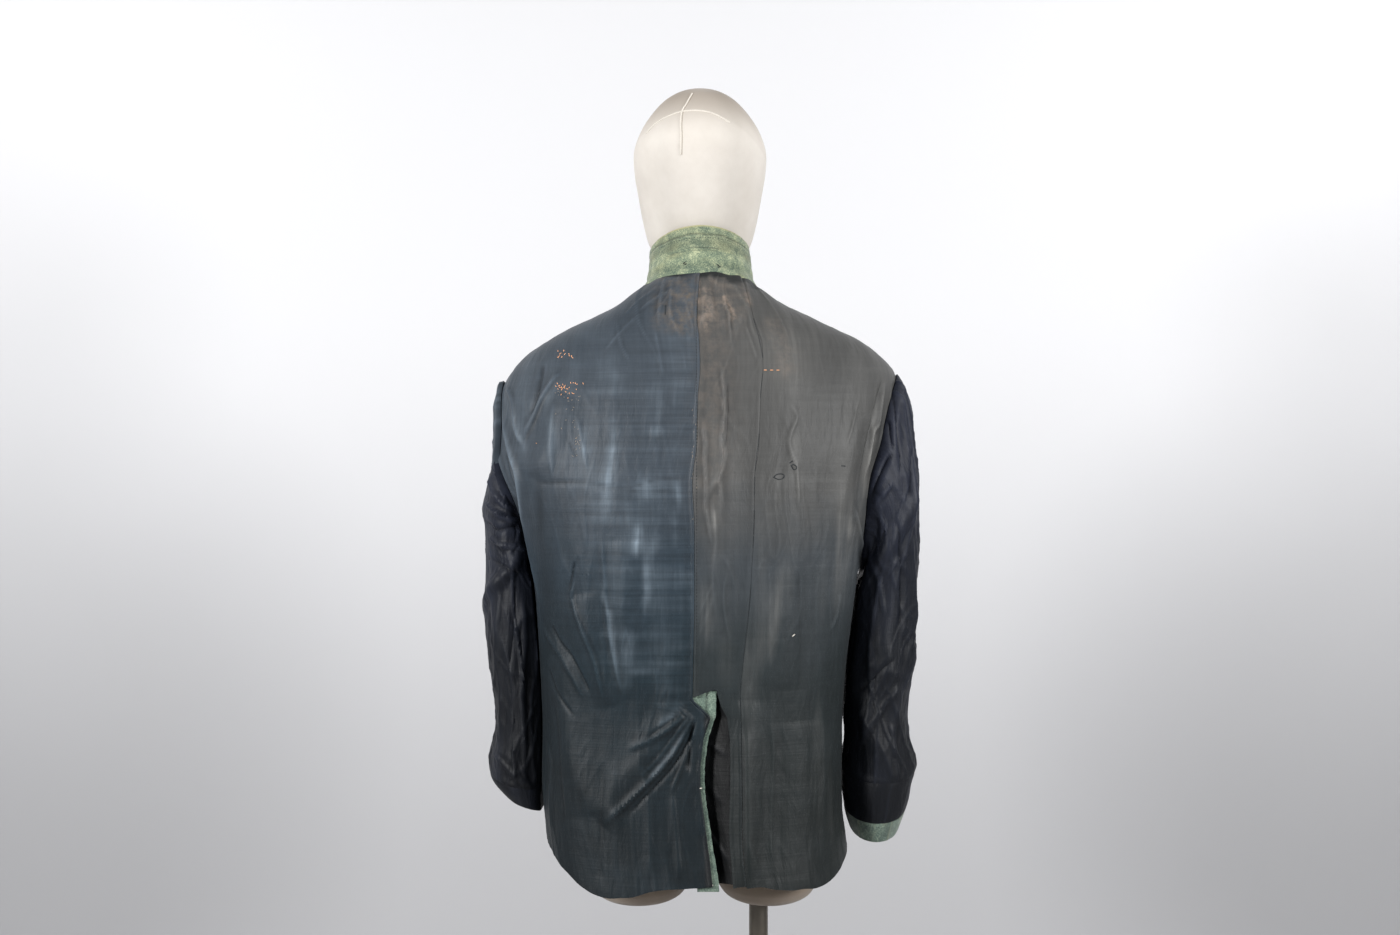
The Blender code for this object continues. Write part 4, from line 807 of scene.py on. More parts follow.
def torso_ring(position, share=1.0, height=None, steps=26):
    """The form's section at a row position: the body surface drawn in by its ease and a little more."""
    quarters = []
    for side, face, order in ((RIGHT, BACK, 1), (RIGHT, FRONT, -1), (LEFT, FRONT, 1), (LEFT, BACK, -1)):
        whole = quarter_sections(np.array([position]), face)[2][0, -1]
        shares = np.linspace(0, 1, steps + 1)[::order][:-1]
        near = np.array([position - 0.02, position, min(position + 0.02, NECK_ROW)])
        girth = np.tile(side * whole * shares, (3, 1))
        points = body_points(near, face, girth)
        behind = body_points(near, face, girth - 0.002 * side)
        normal = np.cross(points[1] - behind[1], points[2] - points[0])
        normal /= np.linalg.norm(normal, axis=-1, keepdims=True)
        normal *= np.sign((normal[:, :2] * points[1, :, :2]).sum(axis=-1, keepdims=True))
        ease = rows_at(BODY_ROWS, position)[7] + FORM_CLEARANCE
        quarters.append((points[1] - normal * ease) * (share, share, 1))
    ring = np.concatenate(quarters)
    if height is not None:
        ring[:, 2] = height
    return ring


hip = positions_of(0.955)
torso = [torso_ring(hip, share, level)
         for level, share in ((0.9002, 0.25), (0.902, 0.45), (0.912, 0.75), (0.930, 0.93))]
torso += [torso_ring(position) for position in np.linspace(hip, 14.6, 64)]
torso += [torso_ring(NECK_ROW, 0.88)]
columns = len(torso[0])
around = np.linspace(0, 2 * math.pi, columns, endpoint=False)
torso += [np.stack([radius * np.sin(around), -0.002 - radius * np.cos(around), np.full(columns, level)],
                   axis=-1)
          for level, radius in NECK_RINGS]
form = bpy.data.objects.new("cotton_dress_form", loft("torso", torso, (0, 0, 0.900), (0, -0.002, 1.614)))
bpy.context.scene.collection.objects.link(form)
joined = [loft("head", oval_rings(HEAD_ROWS, 4, 80), (0, 0.032, 1.572), (0, -0.003, 1.778))]
for centre_x in THIGH_CENTRES:
    rings = [np.stack([centre_x + r[1] * np.sin(around), r[3] - r[2] * np.cos(around),
                       np.full(columns, r[0])], axis=-1)
             for r in rows_at(THIGH_ROWS, np.linspace(1, 6.9, 30))]
    joined.append(loft("thigh", rings, (centre_x, 0, 0.842), (centre_x, 0, 0.985)))
helpers = []
for mesh in joined:
    helper = bpy.data.objects.new("joined_part", mesh)
    bpy.context.scene.collection.objects.link(helper)
    union = form.modifiers.new("join", "BOOLEAN")
    union.operation, union.object = "UNION", helper
    helpers.append(helper)
joined_mesh = bpy.data.meshes.new_from_object(form.evaluated_get(bpy.context.evaluated_depsgraph_get()))
form.modifiers.clear()
form.data = joined_mesh
form.data.name = "cotton_dress_form"
for helper in helpers:
    bpy.data.objects.remove(helper)
form.data.shade_smooth()
print("dress form:", len(form.data.polygons), "faces in one closed body")

# %% [markdown]
# The cover is a cotton jersey, a fine knit that is pulled tight and sewn along a seam down the back of
# the head and a curved one across its crown. Its rows of loops are half a millimetre apart, drawn at
# 1 mm here. It is cream and a little greyer towards the top of the head. Below the chest, where the
# jacket covers it and its hem shades the thigh ends, it is painted dark brown as shade. There is a small
# brown spot on the back seam.

# %% Cotton jersey material
HEAD_SPOT = (-0.0250, -0.0900, 1.6960)
HEAD_SEAM_X = -0.008
cotton_jersey, tree, shader, place = new_finish("cream_cotton_jersey")
cream = ramp(tree, noise(tree, place, 0.06, 5.0, 0.6), (0.30, "#cbc4bb"), (0.70, "#d9d3cb"))
axes = add_node(tree, "ShaderNodeSeparateXYZ", None, {0: place}).outputs
# The head is greyer towards its top, and a little more above the crown seam.
squared = reckon(tree, "POWER", reckon(tree, "ADD", axes["X"], -HEAD_SEAM_X), 2.0)
crown = remap(tree, reckon(tree, "MULTIPLY_ADD", squared, 6.0, axes["Z"]), 1.7365, 1.7400, soft=True)
greyed = remap(tree, axes["Z"], 1.705, 1.775, 0.0, 0.9, soft=True)
grey_share = reckon(tree, "MULTIPLY_ADD", crown, 0.10, greyed, clamp=True)
greyer_on_top = blend(tree, grey_share, cream, dye("#9d9184"))
# Painted shade: below about 1.2 m, under the jacket and on the thigh ends below its hem, the cover is mixed
# 85 to 100 percent towards a dark brown.
under_jacket_shade = remap(tree, axes["Z"], 0.862, 0.905, 0.85, 1.0, soft=True)
above_hem = remap(tree, axes["Z"], 1.2, 1.3)
painted_shade_share = reckon(tree, "MULTIPLY_ADD", above_hem, -1.0, under_jacket_shade, clamp=True)
soiled_and_shaded = blend(tree, painted_shade_share, greyer_on_top, dye("#685641"))
from_spot = add_node(tree, "ShaderNodeVectorMath", {"operation": "DISTANCE"},
                     {0: place, 1: HEAD_SPOT}).outputs["Value"]
spot = remap(tree, from_spot, 0.0015, 0.0075, 0.38, 0.0, soft=True)
tree.links.new(blend(tree, spot, soiled_and_shaded, dye("#8a7763")), shader.inputs["Base Color"])
shader.inputs["Roughness"].default_value = 0.88
shader.inputs["Sheen Weight"].default_value = 0.15
add_bump(tree, shader, noise(tree, place, (0.001, 0.001, 0.0012), 1.0), 0.25, 0.0004)
form.data.materials.clear()
form.data.materials.append(cotton_jersey)
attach(form, "root")
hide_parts("dress_form")
print("cotton jersey on", form.name)

# %% [markdown]
# ## Body panels
#
# Three lining panels cover the back and two the fronts. Each is a grid between two edges, its rows closer
# together at the ends of the armhole, where the edge turns quickly. A point gets the rise of the big
# folds, the charted creases, and a little random rippling that no cloth is without. Near every edge the
# outer face sinks by less than a millimetre, which draws the seam as a fine groove.

# %% Panel maker
ARMHOLE_STEPS, SHOULDER_STEPS = 124, 50


def panel_rows(spacing):
    """Row positions of a body panel from its hem to its neck."""
    count = int((UNDERARM_HEIGHT - HEM_HEIGHT) / spacing)
    heights = list(np.linspace(HEM_HEIGHT, UNDERARM_HEIGHT, count, endpoint=False))
    reach = (SHOULDER_TIP_HEIGHT - UNDERARM_HEIGHT) / 2
    steps = int(ARMHOLE_STEPS * 0.0026 / spacing)
    heights += [UNDERARM_HEIGHT + reach * (1 - math.cos(turn))
                for turn in np.linspace(0, math.pi, steps + 1)[:-1]]
    shoulder = np.linspace(SHOULDER_TIP_ROW, NECK_ROW, int(SHOULDER_STEPS * 0.0026 / spacing) + 1)
    return np.concatenate([positions_of(np.array(heights)), shoulder])


def tear_lift(heights, girth):
    """How far the torn edge above the vent moves the right lining up or down."""
    at_seam, at_end = read(TEAR_ROWS, heights, 1)[:, None], read(TEAR_ROWS, heights, 2)[:, None]
    return (at_seam * np.maximum(0, 1 - girth / TEAR_END)
            + at_end * np.maximum(0, 1 - abs(girth - TEAR_END) / TEAR_END))


def make_panel(name, face, positions, first, last, columns, creases, finish, seed, torn=False,
               hemmed_edge=False):
    """A lining panel between two girth edges, with its folds, creases and ripples."""
    heights = heights_of(positions)
    girth = edge_spaced(first, last, columns)
    base = body_points(positions, face, girth)
    if torn:
        base[..., 2] += tear_lift(heights, girth)
    uneven = (np.exp(-(((heights - HEM_HEIGHT) / 0.020) ** 2))
              + 0.8 * smooth((positions - NECK_ROW + 0.8) / 0.8))
    base[..., 2] += 0.0013 * uneven[:, None] * ripples(girth, girth * 0, 0.017, 1.0, seed + 9)
    x, z = base[..., 0], base[..., 2]
    normal = outward(base)
    outermost = outer_girths(positions, face, RIGHT if last[0] > 0 else LEFT)[:, None]
    armhole_room = smooth(abs(abs(girth) - outermost) / 0.03)
    seam_room = np.minimum(abs(girth - first[:, None]), abs(girth - last[:, None]))
    neck_room = smooth((NECK_ROW - positions) / 0.3)[:, None]
    quiet = smooth(seam_room / 0.007) * neck_room
    charted = chart(creases, x, z, width=0.6) / 1000
    sway = girth + 0.006 * ripples(girth, z, 0.05, 0.05, seed + 4)
    patches = smooth(0.5 + 1.1 * ripples(girth, z, 0.045, 0.070, seed + 5))
    restless = (0.45 + 0.75 * np.exp(-(((x - 0.016) / 0.018) ** 2))
                * smooth((z - 1.10) / 0.08) if face == BACK else 0.7)
    restless = restless + 1.3 * smooth((z - 1.47) / 0.04) * smooth((0.11 - abs(x)) / 0.04)
    random_part = (0.0011 * ripples(girth, z, 0.024, 0.110, seed)
                   + 0.0002 * ripples(girth, z, 0.008, 0.040, seed + 1))
    random_part += restless * patches * 0.0012 * crests(ripples(sway, z, 0.012, 0.080, seed + 6), 3.0)
    random_part += (restless * (1 - patches) * 0.0007
                    * crests(ripples(sway + 0.25 * z, z, 0.017, 0.080, seed + 7), 3.2))
    random_part += (restless * patches * 0.0005
                    * crests(ripples(sway - 0.4 * z, z, 0.016, 0.060, seed + 8), 3.2))
    random_part += (0.00014 * ripples(girth, z, 0.004, 0.012, seed + 2)
                    + 0.00012 * ripples(girth, z, 0.05, 0.005, seed + 3))
    random_part -= 0.0004
    lift = fold_rise(face, x, z) * armhole_room + (charted + random_part) * quiet
    ease = rows_at(BODY_ROWS, positions)[:, 7:8]
    lift = np.maximum(lift, -(0.0018 + 0.5 * ease))
    dive = 0.0007 * np.exp(-((seam_room / 0.0016) ** 2))
    if hemmed_edge:  # the left lining is folded under at the centre and stitched down 3 mm from the fold
        to_centre = abs(girth - first[:, None])
        lift = lift + 0.0002 * np.exp(-(((to_centre - 0.0012) / 0.0016) ** 2))
        dive = (0.0005 * np.exp(-((to_centre / 0.0006) ** 2))
                + 0.0007 * np.exp(-(((to_centre - 0.0036) / 0.0008) ** 2)))
        outer_seam = abs(girth - last[:, None])
        dive = dive + 0.0007 * np.exp(-((outer_seam / 0.0016) ** 2))
    inner = base + normal * lift[..., None]
    outer = base + normal * (lift + CLOTH - dive)[..., None]
    weft = (smooth((0.165 + x) / 0.07) * smooth((-x - 0.003) / 0.01) * smooth((z - 0.94) / 0.08)
            * smooth((1.50 - z) / 0.08))
    weft = np.clip(weft + 0.15, 0, 1)
    # Tone: random satin tone and weft bands first, then the painted highlight and painted shade below.
    tone_and_painted_light = (0.07 * ripples(girth, z, 0.012, 0.100, seed + 10)
            + 0.09 * ripples(girth, z, 0.030, 0.080, seed + 11))
    tone_and_painted_light += weft * (0.09 * ripples(girth * 0 + 0.1, z, 1.0, 0.014, seed + 12)
                    + 0.07 * ripples(girth, z, 0.10, 0.006, seed + 15))
    # The left lining is darker towards its lower outer side, mixed towards the shade colour.
    tone_and_painted_light -= 0.48 * smooth((-x - 0.09) / 0.07) * smooth((1.36 - z) / 0.12)
    if face == BACK:
        broken = np.clip(0.85 + 0.5 * ripples(girth, z, 0.008, 0.050, seed + 13), 0.2, 1.3)
        broken = broken * (1 + 0.35 * weft * ripples(girth, z, 0.06, 0.0055, seed + 16))
        sideways = 0.003 * ripples(girth, z, 0.03, 0.028, seed + 17)
        # The charted streaks: painted highlight where the satin gleams, painted shade where it lies dark.
        tone_and_painted_light += 0.64 * chart(STREAKS, x + sideways, z, 0.45, 1.6) * broken
    tone_and_painted_light *= 0.45 + 0.55 * smooth((z - 0.98) / 0.12)
    if face == BACK:
        # Painted shadow beside the vent, and painted shade under the right arm.
        in_shadow = smooth((x - 0.004) / 0.003) * smooth((0.036 - x) / 0.014) * smooth((1.085 - z) / 0.02)
        tone_and_painted_light -= 0.9 * in_shadow
        tone_and_painted_light -= 0.9 * smooth((x - 0.175) / 0.004) * np.exp(-(((z - 1.236) / 0.018) ** 2))
    to_neck = abs(base[-1:, :, 2] - z)
    # A dark band along the neck edge: narrow on the left as a painted shadow under the collar, wider right of
    # the centre.
    edge_dark = smooth((0.005 + 0.007 * smooth(x / 0.008) + 0.005 * ripples(girth, z, 0.012, 0.006, seed + 14)
                        - to_neck) / 0.006)
    tone_and_painted_light -= 0.85 * edge_dark * smooth((abs(x) < 0.14) * (positions - SHOULDER_TIP_ROW)[:, None] / 0.2)
    stain = 0 * x
    if face == BACK:
        stain = chart(STAINS, x, z) + 0.18 * np.exp(-(((x - 0.010) / 0.026) ** 2)) * smooth((z - 1.24) / 0.16)
        stain = (stain
                 + (0.15 + 0.40 * (x < 0)) * smooth((z - 1.482) / 0.025) * smooth((0.062 - abs(x)) / 0.02))
        stain = np.clip(stain * (1 - edge_dark), 0, 1)
    # Painted highlight on crests and painted shade in hollows, partly as wear.
    wear_and_crease_shading = crest_wear_and_hollow_shade((charted + random_part) * quiet)
    cut = np.stack([np.broadcast_to(girth, x.shape), z], axis=-1)
    piece = cloth_wall(name, inner, outer, cut, {"tone_and_painted_light": tone_and_painted_light, "stain": stain, "wear_and_crease_shading": wear_and_crease_shading, "weft": weft},
                       [finish, field_wool])
    return piece, cut_size(base)


back_rows, front_rows = panel_rows(0.0031), panel_rows(0.0040)
back_heights = heights_of(back_rows)
half_gap = SEAM_GAP / 2
lining_edge = read(VENT_ROWS, back_heights, 1) - half_gap
right_edge = read(VENT_ROWS, back_heights, 3) + half_gap
side_seam = read(SIDE_SEAM_ROWS, back_heights, 1)
print("back panels have", len(back_rows), "rows, fronts", len(front_rows))

# %% Back panels
back_left, size = make_panel("lining_back_left", BACK, back_rows, lining_edge,
                             -outer_girths(back_rows, BACK, LEFT), 186,
                             LEFT_CREASES, slate_satin, 11, hemmed_edge=True)
dress(back_left, "back_left")
back_centre, size = make_panel("lining_back_right_centre", BACK, back_rows, right_edge, side_seam - half_gap,
                               58, RIGHT_CREASES, brown_satin, 21, torn=True)
dress(back_centre, "back_right_centre")
back_side, size = make_panel("lining_back_right_side", BACK, back_rows, side_seam + half_gap,
                             outer_girths(back_rows, BACK, RIGHT), 140, RIGHT_CREASES, brown_satin, 31)
dress(back_side, "back_right_side")

# %% Front panels
middle_front = np.full(len(front_rows), half_gap)
for name, node, side, seed in (("lining_front_left", "front_left", LEFT, 41),
                               ("lining_front_right", "front_right", RIGHT, 51)):
    panel, size = make_panel(name, FRONT, front_rows, side * middle_front,
                             side * outer_girths(front_rows, FRONT, side), 110,
                             FRONT_CREASES, slate_satin, seed)
    dress(panel, node)

# %% [markdown]
# ## Sleeves
#
# The sleeves hang empty and flat at the sides, and their black lining is badly crumpled. Each is a tube
# through rings: every ring is an oval that leans from the shoulder to the underarm at the top and lies
# level at the cuff. The rings stay clear of the body, and the crumples are ridged noise, long down the
# arm and short round it, beside the pleats that were charted.

# %% Sleeve rings
# outer x, outer height, inner x, inner height, centre y, half depth, dip of the back
SLEEVE_RIGHT_ROWS = (
    (0.2290, 1.442, 0.1880, 1.225, 0.000, 0.062, 0.000), (0.2400, 1.420, 0.1950, 1.218, 0.004, 0.066, 0.000),
    (0.2475, 1.384, 0.1900, 1.212, 0.008, 0.069, 0.000), (0.2515, 1.337, 0.1850, 1.203, 0.012, 0.071, 0.000),
    (0.2515, 1.290, 0.1800, 1.190, 0.014, 0.071, 0.000), (0.2520, 1.245, 0.1750, 1.174, 0.015, 0.070, 0.000),
    (0.2517, 1.205, 0.1720, 1.155, 0.015, 0.069, 0.000), (0.2486, 1.157, 0.1700, 1.132, 0.015, 0.067, 0.000),
    (0.2497, 1.125, 0.1700, 1.108, 0.014, 0.066, 0.000), (0.2450, 1.087, 0.1700, 1.078, 0.012, 0.064, 0.002),
    (0.2416, 1.042, 0.1715, 1.042, 0.010, 0.062, 0.003), (0.2470, 1.018, 0.1705, 1.016, 0.010, 0.061, 0.004),
    (0.2528, 0.999, 0.1700, 0.996, 0.010, 0.060, 0.006), (0.2470, 0.977, 0.1695, 0.975, 0.010, 0.059, 0.008),
    (0.2416, 0.957, 0.1700, 0.954, 0.010, 0.056, 0.010), (0.2350, 0.940, 0.1720, 0.937, 0.010, 0.052, 0.012),
    (0.2300, 0.927, 0.1760, 0.924, 0.010, 0.048, 0.012),
)
SLEEVE_LEFT_ROWS = (
    (0.2290, 1.442, 0.1990, 1.225, 0.016, 0.046, 0.000), (0.2320, 1.415, 0.1980, 1.218, 0.020, 0.050, 0.000),
    (0.2365, 1.384, 0.1930, 1.212, 0.024, 0.055, 0.000), (0.2420, 1.345, 0.1870, 1.203, 0.028, 0.062, 0.000),
    (0.2530, 1.296, 0.1800, 1.190, 0.030, 0.068, 0.000), (0.2480, 1.258, 0.1750, 1.176, 0.030, 0.070, 0.000),
    (0.2490, 1.210, 0.1720, 1.158, 0.028, 0.071, 0.000), (0.2500, 1.157, 0.1700, 1.132, 0.028, 0.069, 0.000),
    (0.2455, 1.122, 0.1700, 1.106, 0.027, 0.067, 0.000), (0.2390, 1.081, 0.1700, 1.076, 0.026, 0.064, 0.002),
    (0.2370, 1.046, 0.1700, 1.042, 0.025, 0.062, 0.003), (0.2420, 1.020, 0.1700, 1.014, 0.024, 0.061, 0.004),
    (0.2450, 1.000, 0.1700, 0.990, 0.023, 0.060, 0.005), (0.2430, 0.982, 0.1720, 0.964, 0.022, 0.056, 0.005),
    (0.2310, 0.969, 0.1760, 0.943, 0.022, 0.050, 0.004),
)
# side, angle from the outer line towards the back, height, spread of both, slant and rise
SLEEVE_FOLDS = (
    (RIGHT, 55, 1.310, 16, 0.080, 0, 0.0045), (RIGHT, 95, 1.255, 14, 0.050, -40, 0.0050),
    (RIGHT, 40, 1.150, 15, 0.080, 0, 0.0040), (RIGHT, 75, 1.100, 14, 0.070, 30, 0.0045),
    (RIGHT, 110, 1.050, 16, 0.060, 30, 0.0040), (RIGHT, 270, 1.220, 18, 0.080, 0, 0.0045),
    (RIGHT, 300, 1.080, 18, 0.080, -20, 0.0045), (LEFT, 60, 1.300, 16, 0.050, -30, 0.0050),
    (LEFT, 70, 1.215, 14, 0.040, 60, 0.0060), (LEFT, 45, 1.120, 16, 0.080, 0, 0.0040),
    (LEFT, 80, 1.070, 15, 0.070, 0, 0.0040), (LEFT, 265, 1.230, 18, 0.080, 0, 0.0045),
    (LEFT, 300, 1.090, 18, 0.080, 20, 0.0045),
)
SLEEVE_LEFT_CREASES = (
    (((-240, 1337), (-233, 1314), (-223, 1298), (-212, 1290)), 4.4, 4.4, 3.0),
    (((-248, 1302), (-232, 1289), (-217, 1281), (-203, 1277)), 4.4, 3.3, 4.0),
    (((-250, 1279), (-230, 1269), (-215, 1272), (-201, 1269)), 4.4, 4.4, -3.0),
    (((-244, 1263), (-227, 1252), (-210, 1249), (-200, 1240)), 4.4, 4.4, 3.5),
    (((-227, 1328), (-214, 1307), (-204, 1286)), 3.3, 3.3, -2.5),
    (((-248, 1238), (-224, 1228), (-204, 1218)), 4.4, 4.4, -2.0),
    (((-231, 1235), (-228, 1189), (-231, 1132), (-225, 1074), (-229, 1016)), 5.5, 5.5, 2.5),
    (((-213, 1224), (-211, 1167), (-216, 1110), (-211, 1053), (-213, 995)), 4.4, 4.4, -2.5),
    (((-202, 1201), (-200, 1144), (-203, 1075), (-199, 1007)), 4.4, 4.4, 2.5),
    (((-241, 1188), (-238, 1142), (-237, 1082)), 3.3, 3.3, -1.5),
    (((-243, 1016), (-223, 1000), (-205, 984), (-186, 973)), 4.4, 4.4, 2.0),
)
SLEEVE_RIGHT_CREASES = (
    (((214, 1445), (219, 1417), (221, 1382), (224, 1354), (223, 1326)), 3.3, 3.3, -2.0),
    (((228, 1423), (232, 1383), (235, 1337), (236, 1281)), 4.4, 4.4, 2.5),
    (((237, 1364), (235, 1342), (232, 1303)), 3.3, 3.3, -3.0),
    (((218, 1357), (211, 1350), (200, 1328), (192, 1303)), 4.4, 4.4, -4.0),
    (((213, 1394), (214, 1373), (218, 1357)), 3.3, 3.3, -2.5),
    (((216, 1324), (201, 1307), (196, 1298)), 3.3, 3.3, 2.5),
    (((192, 1262), (201, 1224), (208, 1170)), 4.4, 4.4, 2.5),
    (((219, 1288), (227, 1208), (224, 1145)), 4.4, 4.4, -2.5),
    (((236, 1272), (242, 1175), (232, 1112)), 3.3, 3.3, 2.0),
    (((183, 1203), (176, 1142), (173, 1077)), 4.4, 4.4, -2.0),
    (((181, 1080), (204, 1107), (220, 1126)), 4.4, 4.4, -2.0),
    (((228, 1097), (201, 1056), (181, 1015)), 5.5, 5.5, 2.5),
    (((217, 1050), (221, 1011)), 4.4, 4.4, 2.0),
    (((193, 1144), (197, 1088), (190, 1031)), 4.4, 4.4, 2.0),
)
SLEEVE_GAP, SLEEVE_LIFT, SLEEVE_CLEARANCE = 0.0006, 0.0035, 0.0020
CUFF_ROW = 13.0
SLEEVE_COLUMNS, SLEEVE_GIRTH = 236, 0.40


def armhole_ring(side, angles, away):
    """Points round the armhole, just off the cloth; angle 0 is the shoulder tip, a quarter turn the back."""
    middle = (UNDERARM_HEIGHT + SHOULDER_TIP_HEIGHT) / 2
    positions = positions_of(middle + (SHOULDER_TIP_HEIGHT - middle) * np.cos(angles))
    depths = (np.where(np.sin(angles) >= 0, armhole_reach(BACK, side), armhole_reach(FRONT, side))
              * np.sin(angles))
    ring = np.zeros((len(angles), 3))
    for face, chosen in ((BACK, depths >= 0), (FRONT, depths < 0)):
        here = positions[chosen]
        _, outwards, girths = quarter_sections(here, face)
        girth = side * np.array([np.interp(abs(d), out[::-1], so_far[::-1])
                                 for d, out, so_far in zip(depths[chosen], outwards, girths)])[:, None]
        point = body_points(here, face, girth)[:, 0]
        up = (body_points(here + 0.02, face, girth) - body_points(here - 0.02, face, girth))[:, 0]
        normal = np.cross(up, point - body_points(here, face, girth - side * 0.004)[:, 0])
        normal /= np.linalg.norm(normal, axis=-1, keepdims=True)
        normal *= np.where(normal[:, :1] * side > 0, 1, -1)
        ring[chosen] = point + normal * (CLOTH + SLEEVE_GAP + away)
    return ring


def plain_ring(side, rows, position, angles):
    """One oval ring of a sleeve, before it is drawn to the armhole."""
    row = rows_at(rows, position)
    flat_x = (row[0] + row[2]) / 2 + (row[0] - row[2]) / 2 * np.cos(angles)
    flat_z = (row[1] + row[3]) / 2 + (row[1] - row[3]) / 2 * np.cos(angles)
    x, y, z = side * flat_x, row[4] - row[5] * np.sin(angles), flat_z - row[6] * np.sin(angles)
    return np.stack([x, y, z + SHOULDER_SKEW * x * smooth((z - 1.2) / 0.25)], axis=-1)


def least_reach(side, y, z, clearance):
    """How far out a sleeve must stay at each depth and height to clear the body's cloth."""
    rows = rows_at(BODY_ROWS, positions_of(z))
    depth = np.where(y < 0, rows[..., 2], rows[..., 3])
    share = np.clip(abs(y) / depth, 1e-6, 0.97)
    square = rows[..., 5]
    reach = rows[..., 1] * (1 - share**square) ** (1 / square)
    slope = rows[..., 1] / depth * share ** (square - 1) * (1 - share**square) ** (1 / square - 1)
    swell = left_swell(rows[..., 0], reach / rows[..., 1]) if side == LEFT else 0.0
    return np.where(abs(y) / depth > 0.97, 0.0,
                    side * rows[..., 4] + reach + swell + clearance * np.hypot(1, slope))


def sleeve_control_rings(side, rows, angles):
    """The sleeve's rings from the armhole to the last row, with the row position of each."""
    last = len(rows) - 1
    places = [0.0, 0.6] + list(np.linspace(0.6, CUFF_ROW, 16)[1:]) + list(np.arange(CUFF_ROW + 1, last + 0.5))
    rings = []
    for place in places:
        if place <= 0.6:
            tip = np.exp(-(((angles + math.pi) % (2 * math.pi) - math.pi) / 0.5) ** 2)[:, None]
            ring = armhole_ring(side, angles, SLEEVE_LIFT * place / 0.6)
            rings.append(ring - tip * place / 0.6 * np.array([side * 0.0022, 0, 0.0022]))
            continue
        drawn = 1 - smooth((place - 0.4) / 2.4)
        start = armhole_ring(side, angles, SLEEVE_LIFT) - plain_ring(side, rows, 0.0, angles)
        rings.append(plain_ring(side, rows, place, angles) + start * drawn)
    return np.array(places), np.array(rings)


def through_rings(places, rings, first, last, count):
    """Rings evenly spaced between two row positions, on smooth curves through the control rings."""
    steps = np.linalg.norm(np.diff(rings, axis=0), axis=-1).mean(axis=1)
    knots = np.concatenate([[0], np.cumsum(steps)])
    slopes = np.diff(rings, axis=0) / steps[:, None, None]
    tangents = np.concatenate([slopes[:1], slopes, slopes[-1:]])
    before, after = np.concatenate([steps[:1], steps]), np.concatenate([steps, steps[-1:]])
    tangents = (tangents[:-1] * after[:, None, None]
                + tangents[1:] * before[:, None, None]) / (before + after)[:, None, None]
    targets = np.linspace(np.interp(first, places, knots), np.interp(last, places, knots), count)
    index = np.clip(np.searchsorted(knots, targets, side="right") - 1, 0, len(steps) - 1)
    width = steps[index][:, None, None]
    share = ((targets - knots[index]) / steps[index])[:, None, None]
    share_2, share_3 = share**2, share**3
    points = ((2 * share_3 - 3 * share_2 + 1) * rings[index]
              + (share_3 - 2 * share_2 + share) * width * tangents[index]
              + (3 * share_2 - 2 * share_3) * rings[index + 1]
              + (share_3 - share_2) * width * tangents[index + 1])
    return points, np.interp(targets, knots, places)


